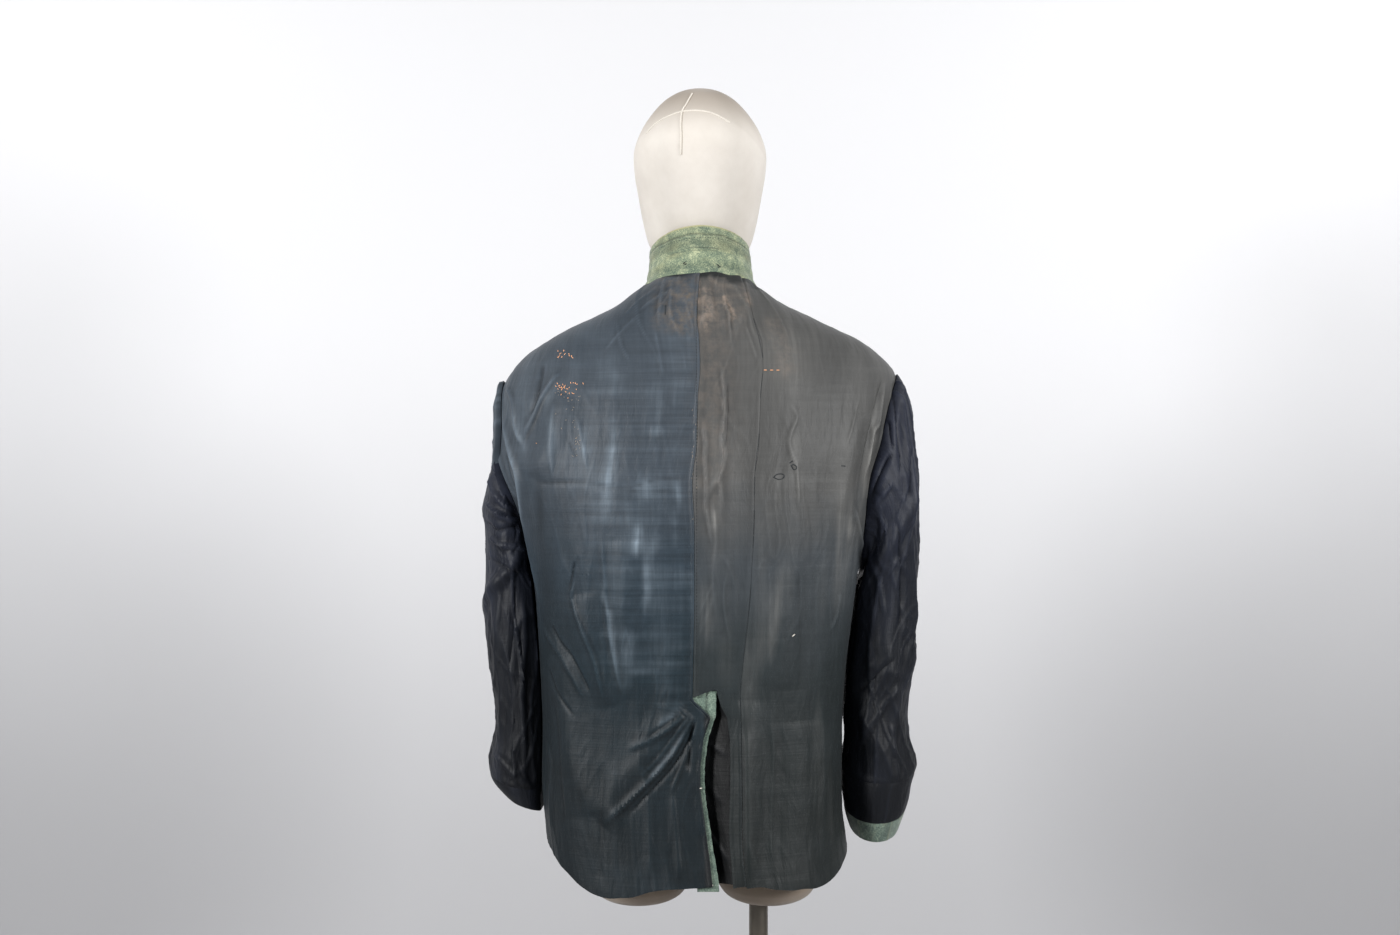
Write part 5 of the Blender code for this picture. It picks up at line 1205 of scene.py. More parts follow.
def make_sleeve(name, side, rows, first, last, count, creases, finishes, seed, crumple=1.0):
    """A tube of sleeve cloth between two row positions, with its folds, pleats and crumples."""
    angles = np.linspace(0, 2 * math.pi, SLEEVE_COLUMNS, endpoint=False)
    places, rings = sleeve_control_rings(side, rows, angles)
    points, where = through_rings(places, rings, first, last, count)
    centre = points.mean(axis=1, keepdims=True)
    normal = outward(points, closed=True, centre=(0, 0))
    facing = (normal * (points - centre)).sum(axis=-1).mean()
    normal = normal if facing > 0 else -normal
    x, y, z = points[..., 0], points[..., 1], points[..., 2]
    started = smooth((where - 0.6) / 2)[:, None]
    rise = np.zeros(x.shape)
    for fold_side, middle, z_mid, spread, z_spread, slant, height in SLEEVE_FOLDS:
        if fold_side == side:
            up = (z - z_mid) / z_spread
            turn = (np.degrees(angles)[None, :] - middle - slant * up + 180) % 360 - 180
            rise += height * np.exp(-((turn / spread) ** 2)) * np.exp(-(up**2))
    girth = np.broadcast_to(angles / (2 * math.pi) * SLEEVE_GIRTH, x.shape)
    seen = smooth(-normal[..., 1] / 0.35 + 0.2)
    charted = chart(creases, x, z, width=0.7) / 1000 * seen
    bend = 0.012 * ripples(girth, z, 0.050, 0.070, seed + 9, around=8)
    pleat = crests(ripples(girth + bend + 0.10 * z, z, 0.0200, 0.130, seed, around=20), 1.5)
    slant = crests(ripples(girth + bend - 0.55 * z, z, 0.0250, 0.060, seed + 1, around=16), 1.9)
    cross = crests(ripples(girth - bend + 0.80 * z, z, 0.0200, 0.045, seed + 3, around=20), 2.2)
    small = crests(ripples(girth - bend, z, 0.0100, 0.050, seed + 4, around=40), 1.8)
    fine = ripples(girth, z, 0.00625, 0.012, seed + 2, around=64)
    broad = ripples(girth, z, 0.050, 0.060, seed + 5, around=8)
    random_part = crumple * (0.0022 * pleat + 0.0013 * slant + 0.0008 * cross + 0.0006 * small + 0.0001 * fine
                             + 0.0016 * broad - 0.0014)
    start_length = 0.9 if side == RIGHT else 2.6
    edges = smooth((where - first + 0.02) / start_length)
    edges = edges * np.maximum(0.45 if first else 0, smooth((last - where + 0.02) / 0.5))
    lift = rise * started + (charted + random_part) * edges[:, None]
    moved = points + normal * lift[..., None]
    if side == RIGHT:  # this sleeve hangs against the hip
        moved[..., 0] -= 0.0026 * (np.exp(-(((z - 1.075) / 0.055) ** 2))
                                   + np.exp(-(((z - 0.985) / 0.030) ** 2))) * started
    for _ in range(2):
        least = least_reach(side, moved[..., 1], moved[..., 2], 2 * CLOTH + SLEEVE_CLEARANCE)
        hanging = (where > 0.6)[:, None]
        moved[..., 0] = np.where(hanging, side * np.maximum(abs(moved[..., 0]), least), moved[..., 0])
    dive_room = np.minimum(np.arange(count), np.arange(count)[::-1])[:, None] * 0.0027
    dive = 0.0005 * np.exp(-((dive_room / 0.002) ** 2))
    outer_normal = outward(moved, closed=True)
    outer_normal = outer_normal if (outer_normal * (moved - centre)).sum() > 0 else -outer_normal
    outer = moved + outer_normal * (CLOTH - dive)[..., None]
    # Painted highlight on crests and painted shade in hollows, partly as wear.
    wear_and_crease_shading = 0.7 * crest_wear_and_hollow_shade(charted + random_part)
    # Painted sheen on the crests of the pleats, with tone that differs at random.
    tone_and_painted_light = 0.22 * np.clip(pleat * 0.5 + ripples(girth, z, 0.025, 0.12, seed + 6, around=16), 0, 1)
    cut = np.stack([girth, z], axis=-1)
    piece = cloth_wall(name, moved, outer, cut, {"tone_and_painted_light": tone_and_painted_light, "wear_and_crease_shading": wear_and_crease_shading}, finishes, closed=True)
    return piece, cut_size(points, closed=True)


print("sleeves: rings of", SLEEVE_COLUMNS, "points")

# %% Sleeves and cuffs
# Places between the rows of the sleeve tables; these seams follow the photo and lie higher than the CAD's
ROW_GAP, CUFF_SEAM_RIGHT, CUFF_SEAM_LEFT, WOOL_SEAM_RIGHT = 0.002, 12.4, 12.7, 14.5
lined = [black_satin, field_wool]
dark_inside = [black_satin, black_satin]  # deep inside the sleeves no wool shows
sleeve_right, size = make_sleeve("sleeve_lining_right", RIGHT, SLEEVE_RIGHT_ROWS, 0, CUFF_SEAM_RIGHT, 190,
                                 SLEEVE_RIGHT_CREASES, dark_inside, 61)
dress(sleeve_right, "sleeve_right")
sleeve_left, size = make_sleeve("sleeve_lining_left", LEFT, SLEEVE_LEFT_ROWS, 0, CUFF_SEAM_LEFT, 190,
                                SLEEVE_LEFT_CREASES, dark_inside, 71)
sleeve_left.data.materials.append(slate_satin)  # the slate lining is drawn over the head of this sleeve
for face in sleeve_left.data.polygons:
    if face.material_index == 0 and face.center.z > 1.348 + 0.3 * (face.center.x + 0.225):
        face.material_index = 2
dress(sleeve_left, "sleeve_left")
cuff_right, size = make_sleeve("cuff_lining_right", RIGHT, SLEEVE_RIGHT_ROWS, CUFF_SEAM_RIGHT + ROW_GAP,
                               WOOL_SEAM_RIGHT, 18, (), lined, 62, crumple=0.35)
dress(cuff_right, "cuff_right")
wool_end, size = make_sleeve("cuff_wool_end_right", RIGHT, SLEEVE_RIGHT_ROWS, WOOL_SEAM_RIGHT + ROW_GAP,
                             len(SLEEVE_RIGHT_ROWS) - 1, 12, (), [shaded_wool], 63, crumple=0.35)
dress(wool_end, "cuff_wool_right")
cuff_left, size = make_sleeve("cuff_lining_left", LEFT, SLEEVE_LEFT_ROWS, CUFF_SEAM_LEFT + ROW_GAP,
                              len(SLEEVE_LEFT_ROWS) - 1, 14, (), lined, 72, crumple=0.35)
dress(cuff_left, "cuff_left")

# %% [markdown]
# ## Collar
#
# The collar is made of the jacket's own wool, folded double, and it stands up round the form's neck. A
# lower band, the stand, carries an upper band, the fall. In the middle the fall's raw lower edge lips over
# the stand and throws a thin dark line, painted in as shadow, and a second line is pressed below the rim
# and painted dark as shade.
# Both bands are rows of ovals with those lines set in as small steps of the surface.

# %% Collar bands
# rise above the neck seam, half width, back depth, front depth
COLLAR_STAND_ROWS = ((-0.0010, 0.0630, 0.0634, 0.0590), (0.0130, 0.0588, 0.0608, 0.0570),
                     (0.0260, 0.0566, 0.0600, 0.0564))
COLLAR_FALL_ROWS = ((0.0262, 0.0565, 0.0599, 0.0563), (0.0400, 0.0560, 0.0591, 0.0557),
                    (0.0535, 0.0550, 0.0578, 0.0545))
COLLAR_FRONT_DROP, COLLAR_FRONT_GAP = 0.17, math.radians(4)


def make_collar_band(name, table, count, relief, seed):
    """A band of the collar; relief adds to the outer face from the rise and the angle of each place."""
    angles = np.linspace(COLLAR_FRONT_GAP, 2 * math.pi - COLLAR_FRONT_GAP, 220)
    rows = rows_at(table, np.linspace(0, len(table) - 1, count))
    depth = np.where(np.cos(angles) > 0, rows[:, 3:4], rows[:, 2:3])
    x, y = rows[:, 1:2] * np.sin(angles), depth * np.cos(angles)
    height = (rows[:, 0:1] * (1 - COLLAR_FRONT_DROP * (1 + y / depth))
              * (1 + 0.06 * np.clip(-y / depth, 0, 1) ** 3))
    neck = BODY_ROWS[NECK_ROW]
    base = np.stack([x, y, neck[0] - neck[6] * y + height + SHOULDER_SKEW * x], axis=-1)
    normal = outward(base)
    girth = np.broadcast_to(angles * 0.06, x.shape)
    rise = np.broadcast_to(rows[:, 0:1], x.shape)
    soft = (0.0006 * ripples(girth, rise, 0.020, 0.010, seed)
            + 0.0003 * ripples(girth, rise, 0.006, 0.004, seed + 1))
    shaped, tone_and_painted_light, wear_and_crease_shading = relief(rise, girth)
    inner = base + normal * (soft * 0.5)[..., None]
    outer = base + normal * (WOOL + soft + shaped)[..., None]
    cut = np.stack([girth, rise], axis=-1)
    piece = cloth_wall(name, inner, outer, cut, {"tone_and_painted_light": tone_and_painted_light, "wear_and_crease_shading": wear_and_crease_shading}, [field_wool])
    return piece, cut_size(base)


def stand_relief(rise, girth):
    """The stand swells a little at the middle, with a painted highlight on the swell, and is painted darker
    below it, as in the shadow of the fall.
    """
    swell = (0.0008 * np.exp(-(((rise - 0.019) / 0.006) ** 2))
             - 0.0006 * np.exp(-(((rise - 0.009) / 0.004) ** 2)))
    tone_and_painted_light = 0.10 * np.exp(-(((rise - 0.018) / 0.004) ** 2)) - 0.10 * np.exp(-(((rise - 0.009) / 0.004) ** 2))
    return swell, tone_and_painted_light, 0.25 * np.clip(ripples(girth, rise, 0.02, 0.008, 83), 0, 1)


def fall_relief(rise, girth):
    """The fall's lower edge lips outwards with a painted highlight on it and a painted shadow line beside it,
    a line is pressed below its rim and painted dark as shade, the band between them is darker, and the rim is
    rubbed yellow.
    """
    wander = rise + 0.0012 * ripples(girth, rise * 0, 0.018, 1.0, 84)
    middle = np.exp(-(((girth - math.pi * 0.06 + 0.006) / 0.026) ** 2))
    lip = 0.0012 * np.exp(-(((wander - 0.0275) / 0.0022) ** 2)) * middle
    line = -0.0009 * np.exp(-(((wander - 0.0435) / 0.0009) ** 2))
    rim = -0.0012 * smooth((rise - 0.0520) / 0.0015)
    tone_and_painted_light = (-0.50 * np.exp(-(((wander - 0.0435) / 0.0011) ** 2))
            - 0.26 * np.exp(-(((wander - 0.0345) / 0.0055) ** 2)))
    tone_and_painted_light -= 0.75 * np.exp(-(((wander - 0.0285) / 0.0008) ** 2)) * middle
    tone_and_painted_light += 0.12 * np.exp(-(((wander - 0.0275) / 0.0030) ** 2))
    wear_and_crease_shading = (0.8 * smooth((rise - 0.0505) / 0.0025)
            + 0.25 * np.clip(ripples(girth, rise, 0.02, 0.008, 85), 0, 1))
    return lip + line + rim, tone_and_painted_light, np.clip(wear_and_crease_shading, 0, 1)


stand_band, size = make_collar_band("collar_stand_band", COLLAR_STAND_ROWS, 26, stand_relief, 81)
dress(stand_band, "collar_stand")
fall_band, size = make_collar_band("collar_fall_band", COLLAR_FALL_ROWS, 26, fall_relief, 82)
dress(fall_band, "collar_fall")

# %% [markdown]
# ## The torn vent
#
# The vent at the centre back is held only by its threads. The left lining has pulled away from the
# wool that it was sewn to, so a narrow strip of green shows all the way down, and a torn triangle of
# it at the top. Further to the right the cloth under the vent lies in shadow, and is painted nearly black
# as shade. Both layers follow the body surface at their own depth, and the wool's edge gets small
# irregular steps, as raw wool has.

# %% Vent layers
wool_heights = np.linspace(0.8820, 1.106, 118)
free_edge = read(VENT_ROWS, wool_heights, 1)
wool_left = np.where(wool_heights < 0.902, 0.0, np.minimum(free_edge, 0.010) - 0.004)
wool_right = (read(VENT_ROWS, wool_heights, 2)
              + 0.0005 * ripples(wool_heights * 0, wool_heights, 1.0, 0.004, 91))
wool_girth = wool_left[:, None] + (wool_right - wool_left)[:, None] * np.linspace(0, 1, 15)
wool_base = body_points(np.maximum(0, positions_of(wool_heights)), BACK, wool_girth)
wool_base[..., 2] -= np.maximum(0, HEM_HEIGHT - wool_heights)[:, None]
wool_normal = outward(wool_base)
torn_part = smooth((wool_heights - 1.066) / 0.01)[:, None]
crumple = torn_part * (0.0009 * ripples(wool_girth, wool_base[..., 2], 0.006, 0.012, 92)
                       - 0.0016 * np.exp(-(((wool_girth - 0.0150) / 0.0011) ** 2)))
inner = wool_base - wool_normal * (LAYER_GAP + WOOL)
outer = (inner + wool_normal
         * (WOOL + crumple + 0.0003 * ripples(wool_girth, wool_base[..., 2], 0.004, 0.005, 93))[..., None])
# The torn triangle is made lighter, and the fold across it is painted dark as shade.
wool_tone_and_fold_shade = 0.25 * torn_part + 0.05 - 0.60 * torn_part * np.exp(-(((wool_girth - 0.0150) / 0.0012) ** 2))
wool_cut = np.stack([wool_girth, wool_base[..., 2]], axis=-1)
vent_wool = cloth_wall("vent_wool_strip", inner, outer, wool_cut, {"tone_and_painted_light": wool_tone_and_fold_shade}, [shaded_wool])
dress(vent_wool, "vent_wool_edge")

under_heights = np.linspace(0.890, 1.100, 90)
across = np.linspace(0, 1, 40)
left_end = read(VENT_ROWS, under_heights, 1) - 0.012
turn = read(VENT_ROWS, under_heights, 2) + 0.001
right_end = np.maximum(read(VENT_ROWS, under_heights, 3), turn) + 0.012
under_girth = np.where(across <= 0.5, left_end[:, None] + (turn - left_end)[:, None] * across * 2,
                       turn[:, None] + (right_end - turn)[:, None] * (across * 2 - 1))
under_base = body_points(positions_of(under_heights), BACK, under_girth)
closing = smooth((under_girth - turn[:, None]) / np.maximum(0.006, right_end - 0.012 + 0.003 - turn)[:, None])
along = ((under_heights - 0.890) / 0.210)[:, None]
depth = 0.0072 + (0.016 - 0.0072) * np.sin(math.pi * np.minimum(1, across * 1.2)) * (1 - along**4)
seat = LAYER_GAP + CLOTH - fold_rise(BACK, under_base[..., 0], under_base[..., 2])
depth = depth * (1 - closing) + seat * closing
under_normal = outward(under_base)
DRAG_FOLDS = ((((6, 1041), (18, 1034), (34, 1024)), 3.3, 2.2, 2.4),
              (((12, 941), (22, 927), (34, 910)), 3.3, 2.2, 2.4),
              (((4, 1000), (16, 984), (28, 972)), 3.9, 3.9, 1.2))
drags = chart(DRAG_FOLDS, under_base[..., 0], under_base[..., 2])
pulled = (0.0008 * ripples(under_girth + under_base[..., 2] * 0.6, under_base[..., 2], 0.010, 0.030, 95)
          + drags / 1000)
inner = under_base - under_normal * (depth - pulled * (1 - closing))[..., None]
outer = inner + under_normal * CLOTH
under_cut = np.stack([under_girth, under_base[..., 2]], axis=-1)
# The underlap is painted nearly black as the shade inside the vent, a little lighter on its drag folds.
underlap = cloth_wall("vent_underlap_lining", inner, outer, under_cut, {"tone_and_painted_light": 0.16 * drags - 0.9},
                      [black_satin, field_wool])
dress(underlap, "vent_underlap")

# %% [markdown]
# ## Stand
#
# A steel pole goes up into the right thigh end, and a round steel plate keeps the whole from
# tipping. Both are turned and brushed. The pole is a lathe shape: a profile of radius and height that is
# swept round its axis, with a clamp ring above the plate, and rounded edges.


# %% Turned steel pieces
def turned(name, profile, centre_x, segments):
    """A closed lathe shape from a profile of radius and height, its ends closed with a point."""
    angles = np.linspace(0, 2 * math.pi, segments, endpoint=False)
    rings = [np.stack([centre_x + r * np.sin(angles), -r * np.cos(angles), np.full(segments, z)], axis=-1)
             for r, z in profile]
    mesh = loft(name, rings, (centre_x, 0, profile[0][1]), (centre_x, 0, profile[-1][1]))
    mesh.set_sharp_from_angle(angle=math.radians(40))
    piece = bpy.data.objects.new(name, mesh)
    bpy.context.scene.collection.objects.link(piece)
    return piece


# Stainless steel tube and plate, brushed round the axis: fine level scratches about 0.5 mm apart, soft gloss
brushed_steel, tree, shader, place = new_finish("brushed_steel")
brush = noise(tree, place, (0.030, 0.030, 0.0005), 3.0)
steel_colour = ramp(tree, noise(tree, place, 0.08, 4.0), (0.3, "#79736a"), (0.7, "#8b8478"))
tree.links.new(steel_colour, shader.inputs["Base Color"])
tree.links.new(remap(tree, brush, 0.0, 1.0, 0.26, 0.44), shader.inputs["Roughness"])
shader.inputs["Metallic"].default_value = 1.0
add_bump(tree, shader, brush, 0.15, 0.0002)

POLE_X, POLE_RADIUS, BASE_RADIUS, BASE_THICKNESS = 0.068, 0.011, 0.190, 0.008
pole_foot, pole_top = BASE_THICKNESS + SEAM_GAP, 0.842 - SEAM_GAP
pole_profile = [(0.0165, pole_foot), (0.0175, pole_foot + 0.001), (0.0175, pole_foot + 0.021),
                (0.0165, pole_foot + 0.022), (POLE_RADIUS, pole_foot + 0.0225)]
pole_profile += [(POLE_RADIUS, level) for level in np.linspace(pole_foot + 0.03, pole_top - 0.004, 30)]
pole_profile += [(POLE_RADIUS - 0.0003, pole_top - 0.001), (POLE_RADIUS - 0.001, pole_top)]
base_profile = [(BASE_RADIUS - 0.002, 0.0), (BASE_RADIUS - 0.0006, 0.0006), (BASE_RADIUS, 0.002),
                (BASE_RADIUS, BASE_THICKNESS - 0.002), (BASE_RADIUS - 0.0006, BASE_THICKNESS - 0.0006),
                (BASE_RADIUS - 0.002, BASE_THICKNESS)]
base_profile += [(radius, BASE_THICKNESS) for radius in np.linspace(BASE_RADIUS - 0.01, 0.01, 12)]
for name, node, profile, centre_x, segments in (
    ("brushed_pole", "stand_pole", pole_profile, POLE_X, 40),
    ("brushed_base_plate", "stand_base", base_profile, 0.0, 120),
):
    piece = turned(name, profile, centre_x, segments)
    piece.data.materials.append(brushed_steel)
    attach(piece, "root")
    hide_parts(node)
    print(piece.name, len(piece.data.polygons), "faces")

# %% [markdown]
# ## Stitches
#
# Every seam of the jacket is held by thread, and it shows as small even dashes. They repeat along a path,
# which is just what Geometry Nodes are for. One tree turns a line into a curve, spaces points on it at
# the stitch pitch, and sets a rounded bead of thread on each, turned along the line. Another lays short
# loose ends at single points, with a seeded random turn, for fray and thread scraps.

# %% Stitch tree
stitches = bpy.data.node_groups.new("stitch_run", "GeometryNodeTree")
stitches.interface.new_socket("Seam line", in_out="INPUT", socket_type="NodeSocketGeometry")
for label, value in (("Pitch", 0.003), ("Stitch length", 0.0021), ("Thread width", 0.0006)):
    stitches.interface.new_socket(label, in_out="INPUT", socket_type="NodeSocketFloat").default_value = value
stitches.interface.new_socket("Thread", in_out="INPUT", socket_type="NodeSocketMaterial")
stitches.interface.new_socket("Stitches", in_out="OUTPUT", socket_type="NodeSocketGeometry")
given = add_node(stitches, "NodeGroupInput").outputs
curve = add_node(stitches, "GeometryNodeMeshToCurve", None, {"Mesh": given["Seam line"]})
spaced = add_node(stitches, "GeometryNodeResampleCurve", {"mode": "LENGTH"},
                  {"Curve": curve.outputs[0], "Length": given["Pitch"]})
tangent = add_node(stitches, "GeometryNodeInputTangent")
turned_along = add_node(stitches, "FunctionNodeAlignRotationToVector", {"axis": "X"},
                        {"Vector": tangent.outputs[0]})
bead = add_node(stitches, "GeometryNodeMeshUVSphere", None, {"Segments": 7, "Rings": 5, "Radius": 0.5})
bead_size = add_node(stitches, "ShaderNodeCombineXYZ", None,
                     {"X": given["Stitch length"], "Y": given["Thread width"], "Z": given["Thread width"]})
placed = add_node(stitches, "GeometryNodeInstanceOnPoints", None,
                  {"Points": spaced.outputs[0], "Instance": bead.outputs[0],
                   "Rotation": turned_along.outputs[0], "Scale": bead_size.outputs[0]})
solid = add_node(stitches, "GeometryNodeRealizeInstances", None, {0: placed.outputs[0]})
threaded = add_node(stitches, "GeometryNodeSetMaterial", None,
                    {"Geometry": solid.outputs[0], "Material": given["Thread"]})
add_node(stitches, "NodeGroupOutput", None, {0: threaded.outputs[0]})

scraps = bpy.data.node_groups.new("thread_scraps", "GeometryNodeTree")
scraps.interface.new_socket("Places", in_out="INPUT", socket_type="NodeSocketGeometry")
for label, value in (("Scrap length", 0.003), ("Thread width", 0.0005)):
    scraps.interface.new_socket(label, in_out="INPUT", socket_type="NodeSocketFloat").default_value = value
scraps.interface.new_socket("Seed", in_out="INPUT", socket_type="NodeSocketInt").default_value = 1
scraps.interface.new_socket("Thread", in_out="INPUT", socket_type="NodeSocketMaterial")
scraps.interface.new_socket("Scraps", in_out="OUTPUT", socket_type="NodeSocketGeometry")
given = add_node(scraps, "NodeGroupInput").outputs
bead = add_node(scraps, "GeometryNodeMeshUVSphere", None, {"Segments": 6, "Rings": 5, "Radius": 0.5})
turn_any = add_node(scraps, "FunctionNodeRandomValue", {"data_type": "FLOAT_VECTOR"},
                    {"Min": (-0.4, -1.6, -0.4), "Max": (0.4, 1.6, 0.4), "Seed": given["Seed"]})
longer = add_node(scraps, "FunctionNodeRandomValue", {"data_type": "FLOAT"},
                  {2: 0.5, 3: 1.3, "Seed": given["Seed"]})
scrap_length = add_node(scraps, "ShaderNodeMath", {"operation": "MULTIPLY"},
                        {0: given["Scrap length"], 1: longer.outputs[1]})
bead_size = add_node(scraps, "ShaderNodeCombineXYZ", None,
                     {"X": scrap_length.outputs[0], "Y": given["Thread width"], "Z": given["Thread width"]})
placed = add_node(scraps, "GeometryNodeInstanceOnPoints", None,
                  {"Points": given["Places"], "Instance": bead.outputs[0], "Rotation": turn_any.outputs[0],
                   "Scale": bead_size.outputs[0]})
solid = add_node(scraps, "GeometryNodeRealizeInstances", None, {0: placed.outputs[0]})
threaded = add_node(scraps, "GeometryNodeSetMaterial", None,
                    {"Geometry": solid.outputs[0], "Material": given["Thread"]})
add_node(scraps, "NodeGroupOutput", None, {0: threaded.outputs[0]})
print("trees:", stitches.name, "and", scraps.name)

# %% Thread materials


def thread_finish(name, colour, roughness):
    """Cotton thread, with a fine noise for the shade between its plies."""
    finish, tree, shader, place = new_finish(name)
    shade = remap(tree, noise(tree, place, 0.0006, 2.0), 0.0, 1.0, 0.6, 1.3)
    tree.links.new(blend(tree, 1.0, dye(colour), shade, "MULTIPLY"), shader.inputs["Base Color"])
    shader.inputs["Roughness"].default_value = roughness
    return finish


dark_thread = thread_finish("dark_cotton_thread", "#1b2226", 0.75)
orange_thread = thread_finish("orange_basting_thread", "#f2b184", 0.7)
dusty_thread_and_seam_shadow = thread_finish("dusty_cotton_thread_and_seam_shadow", "#9b8f81", 0.85)
cream_thread = thread_finish("cream_cotton_thread", "#ded8ce", 0.8)


def nodes_mesh(name, lines, tree, settings):
    """Runs a tree on lines of points, keeps the result as a plain mesh, and lets it ride on the body."""
    source = bpy.data.meshes.new(name)
    points = [tuple(point) for line in lines for point in line]
    edges, start = [], 0
    for line in lines:
        edges += [(start + k, start + k + 1) for k in range(len(line) - 1)]
        start += len(line)
    source.from_pydata(points, edges, [])
    carrier = bpy.data.objects.new(name, source)
    bpy.context.scene.collection.objects.link(carrier)
    run = carrier.modifiers.new("run", "NODES")
    run.node_group = tree
    sockets = {item.name: item.identifier for item in tree.interface.items_tree if item.in_out == "INPUT"}
    for label, value in settings.items():
        run[sockets[label]] = value
    made = bpy.data.meshes.new_from_object(carrier.evaluated_get(bpy.context.evaluated_depsgraph_get()))
    carrier.modifiers.clear()
    carrier.data = made
    made.name = name
    made.shade_smooth()
    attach(carrier, "root")
    print(name, len(made.polygons), "faces")
    return carrier


def sew(name, lines, pitch, length, width, thread):
    """A run of stitches along each line, sizes in metres."""
    nodes_mesh(name, lines, stitches,
               {"Pitch": pitch, "Stitch length": length, "Thread width": width, "Thread": thread})


def fray(name, places, length, width, seed, thread):
    """A loose thread end at each place."""
    nodes_mesh(name, places, scraps,
               {"Scrap length": length, "Thread width": width, "Seed": seed, "Thread": thread})


# %% [markdown]
# A seam line has to lie on the cloth as it hangs, creases and all. A ray shot from behind the jacket,
# straight forwards, finds the cloth at any x and height, so a stitch run needs only a few of these pairs.
# The search tree that answers such rays is built once from the outer pieces.


# %% Lines on the cloth
def ray_tree(pieces):
    """A search tree of several pieces' faces."""
    vertices, faces = [], []
    for piece in pieces:
        start = len(vertices)
        vertices += [vertex.co.copy() for vertex in piece.data.vertices]
        faces += [[start + index for index in polygon.vertices] for polygon in piece.data.polygons]
    return BVHTree.FromPolygons(vertices, faces)


cloth_rays = ray_tree([back_left, back_centre, back_side, sleeve_left, sleeve_right, cuff_left, cuff_right])
collar_rays = ray_tree([stand_band, fall_band, vent_wool])
form_rays = ray_tree([form])


def line_on(rays, path, spacing, lift):
    """Points on the cloth behind a path of x and height in millimetres, lifted a little off it."""
    corners = np.array(path, float) / 1000
    dense = rows_at(corners, np.linspace(0, len(corners) - 1, (len(corners) - 1) * 40 + 1))
    lengths = np.concatenate([[0], np.cumsum(np.hypot(*np.diff(dense, axis=0).T))])
    wanted = np.arange(0, lengths[-1], spacing)
    points = []
    for x, z in zip(np.interp(wanted, lengths, dense[:, 0]), np.interp(wanted, lengths, dense[:, 1])):
        hit, normal, _, _ = rays.ray_cast(Vector((x, -1, z)), Vector((0, 1, 0)))
        if hit is not None:
            outwards = normal if normal.y < 0 else -normal
            points.append(hit + outwards * lift)
    return points


def spots_on(rays, places, lift):
    """The point of the cloth behind each place of x and height in millimetres, in a list of its own."""
    return [line_on(rays, [(x, z), (x + 0.3, z)], 0.0002, lift)[:1] for x, z in places]


edge_heights = np.linspace(1.100, 1.528, 8)
edge_path = [((girth - 0.0036) * 1000, height * 1000)
             for girth, height in zip(read(VENT_ROWS, edge_heights, 1), edge_heights)]
sew("centre_seam_stitches", [line_on(cloth_rays, edge_path, 0.004, 0.0001)],
    0.0036, 0.0024, 0.0006, dark_thread)
head_seams = [[(-9, 1762), (-15, 1748), (-20, 1738), (-21.5, 1722), (-21, 1706), (-21.5, 1688)],
              [(-60, 1719), (-50, 1727.5), (-36, 1733.5), (-20, 1737.5), (0, 1737.6), (16, 1734), (34, 1725)]]
# A dusty thread laid 1.6 mm beside the back seam of the head, sunk a little, is the seam's painted shadow.
seam_shadow = [(x + 1.6, z) for x, z in head_seams[0]]
sew("head_cover_seams", [line_on(form_rays, path, 0.004, 0.0001) for path in head_seams],
    0.0014, 0.0028, 0.0020, cream_thread)
sew("head_seam_shadow", [line_on(form_rays, seam_shadow, 0.004, -0.0001)],
    0.0014, 0.0026, 0.0007, dusty_thread_and_seam_shadow)
seam_heights = np.linspace(0.885, 1.500, 16)
seam_girths = read(SIDE_SEAM_ROWS, seam_heights, 1)[:, None]
seam_points = body_points(positions_of(seam_heights), BACK, seam_girths)[:, 0]
side_path = [(x * 1000, z * 1000) for x, _, z in seam_points]
sew("side_seam_stitches", [line_on(cloth_rays, side_path, 0.004, 0.0)], 0.0026, 0.0026, 0.0008, dark_thread)
holes = [[(79.5, 1329.5), (83, 1332.5), (88.5, 1333), (91, 1331), (89, 1328), (84, 1327.3), (79.5, 1329.5)],
         [(98.5, 1342), (101, 1343.4), (104, 1341.5), (104.4, 1338.8), (101.5, 1337.9), (98.5, 1342)],
         [(155.5, 1341.8), (159.5, 1341.5)], [(97, 1345), (100, 1347)], [(-38, 1520), (-38.4, 1509)]]
sew("frayed_hole_edges", [line_on(cloth_rays, path, 0.0006, 0.0001) for path in holes],
    0.0009, 0.0014, 0.0011, dark_thread)
whole_turn = np.linspace(0, 2 * math.pi, 241)
armhole_lines = [[tuple(point) for point in armhole_ring(side, whole_turn, SLEEVE_LIFT * 0.6)]
                 for side in (LEFT, RIGHT)]
sew("armhole_seam_cords", armhole_lines, 0.0028, 0.0042, 0.0016, dark_thread)
vent_knots = spots_on(ray_tree([vent_wool, back_side, back_left]), [(0.5, 992), (13.5, 889), (101.5, 1157)],
                      0.0004)
fray("vent_knots", vent_knots, 0.0042, 0.0012, 9, cream_thread)
collar_path = [(-46, 1589), (-30, 1595), (0, 1599), (30, 1597), (47, 1591)]
sew("collar_stitches", [line_on(collar_rays, collar_path, 0.003, 0.0)], 0.0030, 0.0021, 0.0006, dark_thread)
collar_specks = spots_on(collar_rays, [(-17.5, 1570.5), (-16, 1569), (20, 1568), (21.5, 1566)], 0.0003)
fray("collar_thread_ends", collar_specks, 0.0034, 0.0012, 3, dark_thread)

